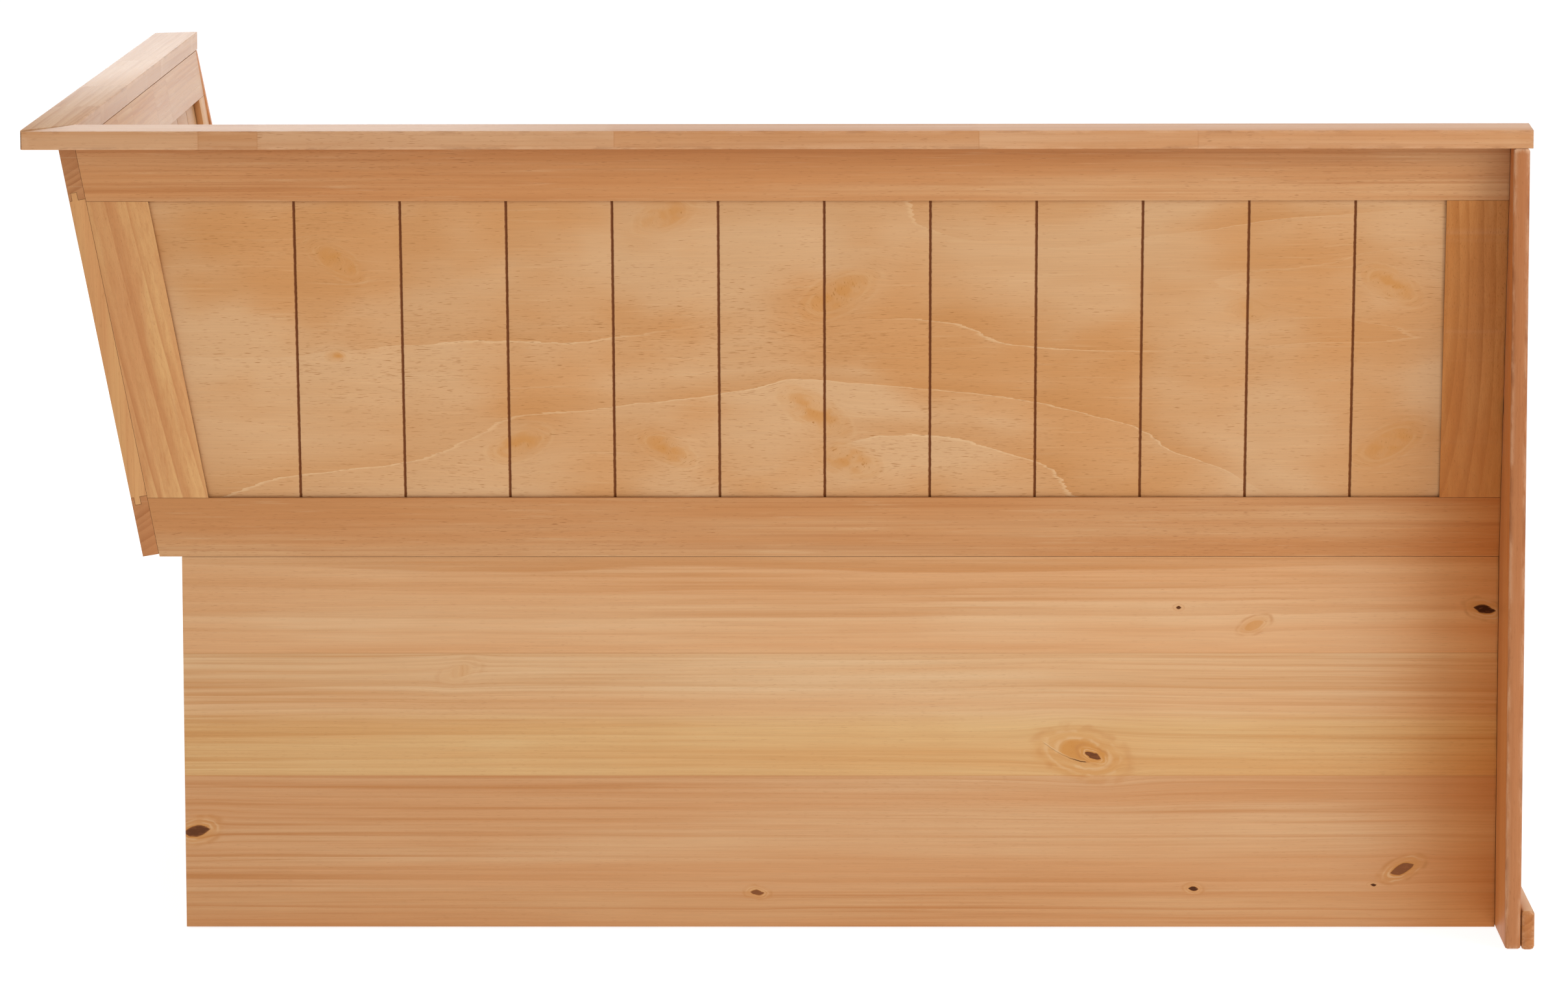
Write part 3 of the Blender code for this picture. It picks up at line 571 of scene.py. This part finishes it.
class Figure:
    """Grain of one node: places in the board, and the masks that its colours are mixed with."""

    # Masks that only boards with knots, or with a crack beside one, have
    core = deep = split = body = pale = halo = slit = lip = None

    def __init__(self, g, name, wood, seed, knot):
        self.g = g
        self.wood = wood
        self.seed = seed
        low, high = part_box(name)
        along, across, through = board_axes(name)
        self.length = high[along] - low[along]
        self.width = high[across] - low[across]
        coords = g.add("ShaderNodeTexCoord")
        place = g.parts(coords.outputs["Object"])
        normal = g.parts(coords.outputs["Normal"])
        self.end_grain = g.ramp(g.math("ABSOLUTE", normal[along]), *FACING)
        self.upward = g.ramp(normal[2], *FACING)
        self.u = g.minus(place[along], low[along])
        self.v = g.minus(place[across], low[across])
        self.w = g.minus(place[through], low[through])
        if "corner_stile" in name:
            self.v = g.plus(self.v, g.times(self.u, math.tan(BACK_LEAN)))
        self.straight = self.v
        value, joints = self.joints(name, across)
        steps = [g.math("GREATER_THAN", value, joint) for joint in joints]
        self.jumps = g.chance(g.plus(seed * STRIP_SEED, *steps))
        self.glue = g.largest([g.fall(g.apart(value, joint), *GLUE_LINE) for joint in joints])
        if name in KNOTS:
            self.bend_round_knots(KNOTS[name], knot)
        if name in KNOT_CRACKS:
            self.crack_beside_knot(*KNOT_CRACKS[name])
        shift = g.plus(self.u, g.times(self.jumps[0], STRIP_SHIFT), seed * SHIFT_SEED)
        self.point = g.vector(shift, self.v, self.w)

    def joints(self, name, across):
        """A value that grows over the glued joints, and what it is at each of them."""
        g = self.g
        if name in FINGER_JOINTS:
            fingers = g.math("PINGPONG", self.v, FINGER_PITCH / 2)
            return g.plus(self.u, g.times(fingers, 2 * FINGER_LENGTH / FINGER_PITCH)), FINGER_JOINTS[name]
        if self.wood is VENEER:
            return self.v, ()
        return self.v, seams_of(name, across)

    def bend_round_knots(self, knots, group):
        """Push the grain aside at the knots, and mask their cores, stained bodies and rims."""
        g = self.g
        spot = g.vector(self.u, self.v, 0.0)
        wave = g.swing(spot, KNOT_WAVES)
        tear = g.swing(spot, KNOT_TEARS)
        along = g.plus(self.u, g.times(wave, KNOT_WAVE_SIZE[0]), g.times(tear, KNOT_TEAR_SIZE[0]))
        across = g.plus(self.v, g.times(wave, KNOT_WAVE_SIZE[1]), g.times(tear, KNOT_TEAR_SIZE[1]))
        broken = g.mask(spot, KNOT_BREAKS)
        whole = g.minus(1.0, broken)
        pushes = []
        cores = []
        deeps = []
        bodies = []
        pales = []
        halos = []
        for knot in knots:
            node = g.add("ShaderNodeGroup", node_tree=group)
            given = (along, across, knot.along, knot.across, knot.radius, knot.lean)
            for socket, value in zip(node.inputs, given):
                g.feed(socket, value)
            reach = node.outputs["Reach"]
            almond = node.outputs["Almond"]
            pushes.append(node.outputs["Push"])
            cores.append(g.fall(almond, *CORE_EDGE, math.ceil(knot.dark)))
            deeps.append(g.ramp(almond, *DEEP_EDGE, knot.dark, knot.dark * DEEP_LEAST))
            rims = g.plus(*[g.ridge(reach, *rim) for rim in PALE_RIMS])
            if self.wood is VENEER:
                patches = g.plus(VENEER_BODY_WHOLE, g.times(broken, 1.0 - VENEER_BODY_WHOLE))
                bodies.append(g.times(g.fall(reach, *VENEER_BODY_FADE, knot.stain), patches))
                pales.append(g.times(rims, broken, knot.stain * VENEER_RIM_SHARE))
                continue
            body = g.fall(reach, *BODY_EDGE, knot.stain * BODY_SHARE)
            bodies.append(g.plus(body, g.fall(reach, *BODY_FADE, knot.stain * BODY_FADE_SHARE)))
            pales.append(g.times(rims, broken, knot.stain))
            strength = knot.stain * BROWN_RIM_SHARE * min(1.0, BROWN_RIM_RADIUS / knot.radius)
            halos.append(g.times(g.ridge(reach, *BROWN_RIM), whole, strength))
        self.v = g.plus(self.v, *pushes)
        self.core = g.largest(cores)
        self.deep = g.largest(deeps)
        self.split = g.mask(spot, KNOT_SPLITS)
        self.body = g.largest(bodies)
        self.pale = g.largest(pales)
        self.halo = g.largest(halos)

    def crack_beside_knot(self, start, finish, sag):
        """A dark slit with a pale lip, which cuts off the knot's stain: below it the stain only fades away.

        The crack is an arc of a parabola.
        """
        g = self.g
        run = g.times(g.plus(self.u, -start[0]), 1.0 / (finish[0] - start[0]))
        run = g.math("MINIMUM", g.math("MAXIMUM", run, 0.0), 1.0)
        slope = g.times(run, finish[1] - start[1] - 4 * sag)
        ragged = g.times(g.swing(g.vector(self.u, 0.0, 0.0), CRACK_RAGS), CRACK_RAG)
        above = g.minus(self.straight, g.plus(start[1], slope, g.times(run, run, 4 * sag), ragged))
        inside = g.ridge(run, *CRACK_ENDS)
        slit = g.fall(g.math("ABSOLUTE", above), *CRACK_SLIT)
        lip = g.fall(g.apart(above, CRACK_LIP_HEIGHT), *CRACK_LIP)
        self.slit = g.times(slit, inside, g.ramp(run, *CRACK_SLIT_RUN))
        self.lip = g.times(lip, inside, g.ramp(run, *CRACK_LIP_RUN))
        before, past = CRACK_MARGINS
        beside = g.ridge(self.u, (start[0] - before, start[0]), (finish[0], finish[0] + past))
        below = g.times(g.fall(above, -CRACK_CUT, CRACK_CUT), g.ramp(above, *CRACK_CUT_DEPTH), beside)
        self.body = g.plus(g.times(self.body, g.minus(1.0, below)), g.times(below, CRACK_STAIN))

    def mask(self, pattern, start=0.0, finish=1.0):
        """A pattern along the grain, stretched from start to finish."""
        return self.g.mask(self.point, pattern, start, finish)

    def rings(self):
        """Late wood from 0 to 1: it darkens slowly outwards, ends sharply, and differs from ring to ring."""
        g = self.g
        wood = self.wood
        drift = g.times(g.noise(self.point, RING_DRIFT), wood.wander * 2)
        shiver = g.times(g.noise(self.point, RING_SHIVER), RING_SHIVER_SIZE)
        aside = g.plus(self.v, -self.width / 2 - wood.pith[0], g.times(self.jumps[1], PITH_JUMPS[0]))
        behind = g.plus(self.w, wood.pith[1], g.times(self.jumps[2], PITH_JUMPS[1]))
        radius = g.math("SQRT", g.plus(g.times(aside, aside), g.times(behind, behind)))
        radius = g.plus(radius, drift, shiver)
        place = g.vector(g.times(radius, RING_SPREAD_SCALE), self.seed * SPREAD_SEED, 0.0)
        spread = g.times(g.noise(place, RING_SPREAD), RING_SPREAD_SIZE)
        count = g.plus(g.math("DIVIDE", radius, wood.ring), spread)
        weight = g.chance(g.plus(g.math("FLOOR", count), self.seed * RING_SEED))[0]
        late = g.ridge(g.math("FRACT", count), RING_RISE, RING_FALL)
        return g.times(late, g.plus(RING_LEAST, g.times(weight, weight)))

    def contours(self):
        """Contours of a peeled veneer: shade that fades from each ragged pale line, and the lines."""
        g = self.g
        start, finish = (share * self.length for share in CONTOUR_CROWD_SPAN)
        crowd = g.ramp(self.u, start, finish, *CONTOUR_CROWD)
        field = g.times(g.swing(self.point, VENEER_FIELD), crowd)
        ragged = g.times(g.noise(self.point, VENEER_RAGS), CONTOUR_RAG)
        phase = g.math("FRACT", g.plus(field, g.times(self.v, CONTOUR_SLOPE), ragged))
        lively = self.mask(VENEER_LIVELY)
        strength = g.plus(CONTOUR_FAINTEST, g.times(lively, 1.0 - CONTOUR_FAINTEST))
        shade = g.times(g.fall(phase, 0.0, CONTOUR_FADE), strength)
        layers = g.times(self.mask(VENEER_LAYERS), LAYER_SHARE)
        return g.math("MAXIMUM", shade, layers), g.times(g.ramp(phase, *CONTOUR_LINE), lively)

    def streaks(self):
        """Long fine dark streaks, with some broader ones."""
        g = self.g
        fine = g.times(self.mask(FINE_STREAKS), FINE_STREAK_SHARE)
        return g.plus(fine, g.times(self.mask(BROAD_STREAKS), BROAD_STREAK_SHARE))

    def flecks(self):
        """Short dark fibres in clusters."""
        g = self.g
        clusters = g.times(g.noise(self.point, FLECK_CLUSTERS), FLECK_CLUSTERING)
        return g.ramp(g.plus(g.noise(self.point, FLECKS), clusters), FLECKS.low, FLECKS.high)


def groove_mask(g, name, figure):
    """1 in the upright grooves of a panel."""
    prefix = name.split("_")[0]
    axis = grain_axis(name)
    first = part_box(f"{prefix}_end_stile")[0][axis] - V_GROOVE_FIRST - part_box(name)[0][axis]
    last = first - (V_GROOVE_COUNT[prefix] - 1) * V_GROOVE_PITCH
    half = V_GROOVE_PITCH / 2
    wrap = g.add("ShaderNodeMath", operation="WRAP")
    for socket, value in zip(wrap.inputs, (g.minus(figure.u, first), half, -half)):
        g.feed(socket, value)
    ragged = g.times(g.noise(g.vector(figure.u, figure.v, 0.0), GROOVE_RAGS), V_GROOVE_RAG)
    away = g.plus(g.math("ABSOLUTE", wrap.outputs[0]), ragged)
    inside = g.fall(away, *(share * V_GROOVE_WIDTH for share in V_GROOVE_EDGE))
    return g.times(inside, g.math("GREATER_THAN", figure.u, last - half))


def crevice(g, place):
    """1 in the corners and joints, in patches: where the wood gets stain and painted shade, and the steel is
    darkened.
    """
    node = g.add("ShaderNodeAmbientOcclusion", samples=EDGE_SAMPLES)
    g.feed(node.inputs["Distance"], EDGE_REACH)
    patch = g.mask(place, CREVICE_PATCHES, CREVICE_LEAST, 1.0)
    return g.times(g.fall(node.outputs["AO"], *CREVICE_OPEN), patch)


def worn_edges(g, place):
    """1 on outer edges, in patches where they are bare and in patches where they are scuffed dark."""
    node = g.add("ShaderNodeAmbientOcclusion", samples=EDGE_SAMPLES, inside=True)
    g.feed(node.inputs["Distance"], EDGE_REACH)
    edge = g.fall(node.outputs["AO"], *EDGE_OPEN)
    return g.times(edge, g.mask(place, BARE_PATCHES)), g.times(edge, g.mask(place, SCUFF_PATCHES))


# Colours of the wood, one layer after another

def veneer_colour(g, wood, figure):
    """Colour of a peeled veneer, and its relief."""
    shade, line = figure.contours()
    colour = g.mix(figure.mask(CLOUDS), wood.early, wood.warm)
    colour = g.mix(g.times(shade, wood.contrast), colour, wood.late)
    return g.mix(g.times(line, CONTOUR_LINE_SHARE), colour, PALE_LINE), shade


def solid_colour(g, wood, figure):
    """Colour of solid wood on its faces and sawn ends, and its relief."""
    late = figure.rings()
    lively = figure.mask(LIVELINESS, *LIVELY_RANGE)
    colour = g.mix(figure.mask(BANDS), wood.early, wood.warm)
    colour = g.mix(g.times(figure.mask(CLOUDS), CLOUD_SHARE), colour, wood.warm)
    colour = g.mix(g.times(late, lively, wood.contrast), colour, wood.late)
    colour = g.mix(g.times(figure.streaks(), lively, wood.streak), colour, wood.late)
    ends = g.product(g.mix(g.times(late, END_RING_SHARE), wood.warm, wood.late), END_GRAIN_TINT)
    return g.mix(figure.end_grain, colour, ends), late


def tint_strips(g, name, wood, figure, colour):
    """Tones of the glued strips and the dark stile, and painted shade on the dark stile and in the corner
    beside the end panel.
    """
    if name == "long_back_board":
        tint = BACK_BOARD_LOWEST_TINT
        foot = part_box(name)[0][2]
        for height, soft, after in BACK_BOARD_TINTS:
            share = g.ramp(figure.straight, height - foot - soft, height - foot + soft)
            tint = g.mix(share, tint, after)
        colour = g.product(colour, tint)
    else:
        step = FINGER_STEP if name in FINGER_JOINTS else STRIP_STEP
        colour = g.scale(colour, g.plus(1.0 - step / 2, g.times(figure.jumps[2], step)))
    # Painted shade: the end stile darkens towards the end panel.
    if wood is DARK_STILE:
        share = g.ramp(figure.straight, 0.0, figure.width)
        colour = g.product(colour, g.mix(share, *DARK_STILE_TINTS))
    # Painted shade, warm, in the corner beside the end panel.
    if name in CORNER_SHADE_PIECES:
        shade = g.ramp(figure.u, figure.length - CORNER_SHADE_WIDTH, figure.length)
        colour = g.mix(shade, colour, g.product(colour, CORNER_SHADE))
    return colour


def draw_fibres(g, name, wood, figure, fibres, colour):
    """Fibres, flecks and glue lines, and painted sheen on the short wing's cap and top rail."""
    colour = g.scale(colour, g.plus(1.0 - FIBRE_SHARE / 2, g.times(fibres, FIBRE_SHARE)))
    fleck = tuple(FLECK_SHADE * part for part in wood.late)
    colour = g.mix(g.times(figure.flecks(), wood.fleck), colour, fleck)
    if figure.glue is not None:
        share = GLUE_SHARES.get(name, GLUE_SHARE)
        colour = g.mix(g.times(figure.glue, share), colour, wood.late)
    if name in SHORT_WING_SHEEN_PIECES:
        colour = g.product(colour, SHORT_WING_SHEEN)
    return colour


def draw_knots(g, wood, figure, colour):
    """Knots, and the crack beside one."""
    if figure.core is not None:
        colour = g.mix(figure.body, colour, KNOT_BODY)
        if figure.halo is not None:
            colour = g.mix(figure.halo, colour, wood.late)
        colour = g.mix(g.times(figure.pale, PALE_RIM_SHARE), colour, PALE_LINE)
        core = g.mix(figure.deep, KNOT_RED, KNOT_CORE)
        colour = g.mix(figure.core, colour, g.mix(g.times(figure.split, SPLIT_SHARE), core, KNOT_RED))
    if figure.slit is not None:
        colour = g.mix(g.times(figure.lip, CRACK_LIP_SHARE), colour, PALE_LINE)
        colour = g.mix(g.times(figure.slit, CRACK_SLIT_SHARE), colour, KNOT_CORE)
    return colour


def stain_wear_and_painted_light(g, name, wood, figure, colour):
    """Stain and painted shade in grooves, painted shade on the end panels' rear strips and stain on their
    edges, stain and painted shade in corners, worn edges, and painted sheen on the plinths' tops.
    """
    if "grooved" in name:
        # The grooves are painted dark: their stain and the shade inside them.
        colour = g.mix(g.times(groove_mask(g, name, figure), GROOVE_SHARE), colour, GROOVE_STAIN_AND_SHADE)
    if "end_panel" in name:
        # Painted shade on the end panels' strip beside the back boards, and the stain of their sawn edges.
        for depth, tint in ((REAR_STRIP, REAR_STRIP_SHADE), (EDGE_STAIN_DEPTH, EDGE_STAIN)):
            share = g.fall(figure.straight, depth - TINT_EDGE, depth + TINT_EDGE)
            colour = g.mix(share, colour, g.product(colour, tint))
    place = g.vector(figure.u, figure.v, figure.w)
    # Stain and painted shade darken the corners and joints.
    colour = g.mix(g.times(crevice(g, place), wood.grime_and_shade), colour, GRIME_AND_SHADE)
    if wood.wear:
        bare, scuffed = worn_edges(g, place)
        colour = g.mix(g.times(bare, wood.wear), colour, WORN_EDGE)
        colour = g.mix(g.times(scuffed, wood.wear), colour, SCUFF)
    # Painted sheen makes the plinths' tops paler.
    if "plinth" in name:
        colour = g.mix(g.times(figure.upward, PLINTH_TOP_SHEEN_SHARE), colour, PLINTH_TOP_SHEEN)
    return colour


def new_material(name):
    """A material with its graph and its shader."""
    material = bpy.data.materials.new(name)
    material.use_nodes = True
    return material, Graph(material.node_tree), material.node_tree.nodes["Principled BSDF"]


def wood_material(name, slot, seed, knot):
    """Stained wood for one node, with the grain along it."""
    material, g, shader = new_material(f"{slot}_{name}")
    wood = wood_of(name, slot)
    figure = Figure(g, name, wood, seed, knot)
    fibres = g.noise(figure.point, FIBRES)
    paint = veneer_colour if wood is VENEER else solid_colour
    colour, relief = paint(g, wood, figure)
    colour = g.mix(g.times(figure.mask(PALE_STREAKS), wood.open), colour, PALE_LINE)
    colour = tint_strips(g, name, wood, figure, colour)
    colour = draw_fibres(g, name, wood, figure, fibres, colour)
    colour = draw_knots(g, wood, figure, colour)
    colour = stain_wear_and_painted_light(g, name, wood, figure, colour)
    g.feed(shader.inputs["Base Color"], colour)
    g.feed(shader.inputs["Specular IOR Level"], SPECULAR)
    roughness = g.plus(wood.roughness - FIBRE_POLISH, g.times(fibres, FIBRE_ROUGHNESS))
    g.feed(shader.inputs["Roughness"], roughness)
    height = g.plus(fibres, g.times(relief, GRAIN_RELIEF))
    g.feed(shader.inputs["Normal"], g.bump(height, BUMP_STRENGTH, BUMP_DEPTH))
    return material


def steel_material(name, seed):
    """Zinc-plated steel, brushed along the hinge."""
    material, g, shader = new_material(f"steel_{name}")
    place = g.add("ShaderNodeTexCoord").outputs["Object"]
    along = 1 if name.startswith("short") else 0
    brush = [STEEL_BRUSH_ACROSS] * 3
    brush[along] = STEEL_BRUSH_ALONG
    brushed = g.noise(place, Pattern(tuple(brush)))
    spread = (STEEL_CLOUD_SCALE, STEEL_CLOUD_SCALE, STEEL_CLOUD_SCALE + seed)
    clouds = g.noise(place, Pattern(spread, STEEL_CLOUD_DETAIL))
    colour = g.mix(g.ramp(clouds, *STEEL_CLOUD_RANGE), STEEL_BRIGHT, STEEL_DULL)
    # Darker in the corners and joints.
    colour = g.mix(g.times(crevice(g, place), STEEL_HOLLOW_DARK_SHARE), colour, STEEL_HOLLOW_DARK)
    g.feed(shader.inputs["Base Color"], colour)
    g.feed(shader.inputs["Metallic"], 1.0)
    g.feed(shader.inputs["Roughness"], g.plus(STEEL_ROUGHNESS, g.times(brushed, STEEL_BRUSH_ROUGHNESS)))
    g.feed(shader.inputs["Normal"], g.bump(brushed, STEEL_BUMP_STRENGTH, STEEL_BUMP_DEPTH))
    return material


# Edges

def geometry_group(name):
    """An empty geometry group with one mesh in and one out."""
    tree = bpy.data.node_groups.new(name, "GeometryNodeTree")
    tree.interface.new_socket("Geometry", in_out="INPUT", socket_type="NodeSocketGeometry")
    tree.interface.new_socket("Geometry", in_out="OUTPUT", socket_type="NodeSocketGeometry")
    return Graph(tree), tree


def weld_group():
    """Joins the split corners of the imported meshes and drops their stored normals."""
    g, tree = geometry_group("weld")
    merge = g.add("GeometryNodeMergeByDistance")
    g.feed(merge.inputs["Geometry"], g.add("NodeGroupInput").outputs[0])
    g.feed(merge.inputs["Distance"], WELD_DISTANCE)
    drop = g.add("GeometryNodeRemoveAttribute")
    g.feed(drop.inputs["Geometry"], merge.outputs[0])
    g.feed(drop.inputs["Name"], "custom_normal")
    g.feed(g.add("NodeGroupOutput").inputs[0], drop.outputs[0])
    return tree


def smooth_group():
    """Smooth shading, except over sharp edges."""
    g, tree = geometry_group("smooth")
    faces = g.add("GeometryNodeSetShadeSmooth", domain="FACE")
    g.feed(faces.inputs["Geometry"], g.add("NodeGroupInput").outputs[0])
    g.feed(faces.inputs["Shade Smooth"], True)
    angle = g.add("GeometryNodeInputMeshEdgeAngle").outputs["Unsigned Angle"]
    edges = g.add("GeometryNodeSetShadeSmooth", domain="EDGE")
    g.feed(edges.inputs["Geometry"], faces.outputs[0])
    g.feed(edges.inputs["Selection"], g.math("GREATER_THAN", angle, SHARP_ANGLE))
    g.feed(edges.inputs["Shade Smooth"], False)
    g.feed(g.add("NodeGroupOutput").inputs[0], edges.outputs[0])
    return tree


def soften(thing, radius, weld, smooth):
    """Round a node's sharp edges with modifiers."""
    thing.modifiers.new("weld", "NODES").node_group = weld
    flat = thing.modifiers.new("flat faces", "DECIMATE")
    flat.decimate_type = "DISSOLVE"
    flat.angle_limit = FLAT_ANGLE
    bevel = thing.modifiers.new("edge", "BEVEL")
    bevel.width = radius
    bevel.segments = EDGE_SEGMENTS
    bevel.limit_method = "ANGLE"
    bevel.angle_limit = SHARP_ANGLE
    thing.modifiers.new("smooth", "NODES").node_group = smooth


# Stage

def place_in_scene(name, data):
    """A new object in the scene."""
    thing = bpy.data.objects.new(name, data)
    bpy.context.scene.collection.objects.link(thing)
    return thing


def add_floor():
    """A plain floor that glows a little, so that it comes out white."""
    half = FLOOR_HALF
    corners = [(-half, -half, 0), (half, -half, 0), (half, half, 0), (-half, half, 0)]
    mesh = bpy.data.meshes.new("floor")
    mesh.from_pydata(corners, [], [(0, 1, 2, 3)])
    material, g, shader = new_material("studio_floor")
    g.feed(shader.inputs["Base Color"], FLOOR_GREY)
    g.feed(shader.inputs["Roughness"], FLOOR_ROUGHNESS)
    g.feed(shader.inputs["Emission Color"], WHITE)
    g.feed(shader.inputs["Emission Strength"], FLOOR_GLOW)
    mesh.materials.append(material)
    floor = place_in_scene("floor", mesh)


def add_light(name, place, target, size, power):
    """A round area light, aimed at a point."""
    light = bpy.data.lights.new(name, "AREA")
    light.shape = "DISK"
    light.size = size
    light.energy = power
    lamp = place_in_scene(name, light)
    lamp.location = place
    lamp.rotation_euler = (Vector(target) - Vector(place)).to_track_quat("-Z", "Y").to_euler()


def add_studio():
    """White surroundings, the floor and the lights."""
    scene = bpy.context.scene
    scene.view_settings.view_transform = "Standard"
    world = bpy.data.worlds.new("studio")
    world.use_nodes = True
    background = world.node_tree.nodes["Background"]
    background.inputs["Color"].default_value = WHITE
    background.inputs["Strength"].default_value = SKY_STRENGTH
    scene.world = world
    add_floor()
    for light in LIGHTS:
        add_light(*light)


def add_camera():
    """The camera of the photograph."""
    camera = bpy.data.cameras.new("camera")
    camera.sensor_width = SENSOR_WIDTH
    camera.lens = CAMERA_FOCAL * SENSOR_WIDTH / IMAGE_WIDTH
    camera.shift_y = CAMERA_SHIFT / IMAGE_WIDTH
    holder = place_in_scene("camera", camera)
    turn = Matrix.Rotation(-CAMERA_YAW, 4, "Z") @ Matrix.Rotation(math.pi / 2 + CAMERA_PITCH, 4, "X")
    holder.matrix_world = Matrix.Translation(CAMERA_PLACE) @ turn @ Matrix.Rotation(CAMERA_ROLL, 4, "Z")
    bpy.context.scene.camera = holder


def dress(frame):
    """Softened edges and a material of its own for every node."""
    slots = {row["node"]: row["material_slot"] for row in frame["record"]["subparts"]}
    weld = weld_group()
    smooth = smooth_group()
    knot = knot_group()
    for seed, name in enumerate(sorted(frame["nodes"])):
        thing = frame["nodes"][name]
        if slots[name] == "steel":
            material = steel_material(name, seed)
            soften(thing, HINGE_EDGE_ROUND, weld, smooth)
        else:
            material = wood_material(name, slots[name], seed, knot)
            joined = any(word in name for word in FRAME_PIECES)
            soften(thing, JOINT_EDGE_ROUND if joined else EDGE_ROUND, weld, smooth)
        thing.data.materials.clear()
        thing.data.materials.append(material)


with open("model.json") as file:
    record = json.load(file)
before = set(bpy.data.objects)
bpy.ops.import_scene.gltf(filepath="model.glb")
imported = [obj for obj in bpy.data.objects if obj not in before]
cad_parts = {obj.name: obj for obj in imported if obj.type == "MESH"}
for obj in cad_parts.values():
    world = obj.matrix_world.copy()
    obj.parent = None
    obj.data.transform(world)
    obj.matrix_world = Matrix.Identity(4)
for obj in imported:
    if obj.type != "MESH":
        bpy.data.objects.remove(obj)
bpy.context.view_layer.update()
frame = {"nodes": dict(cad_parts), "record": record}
dress(frame)
add_studio()
add_camera()
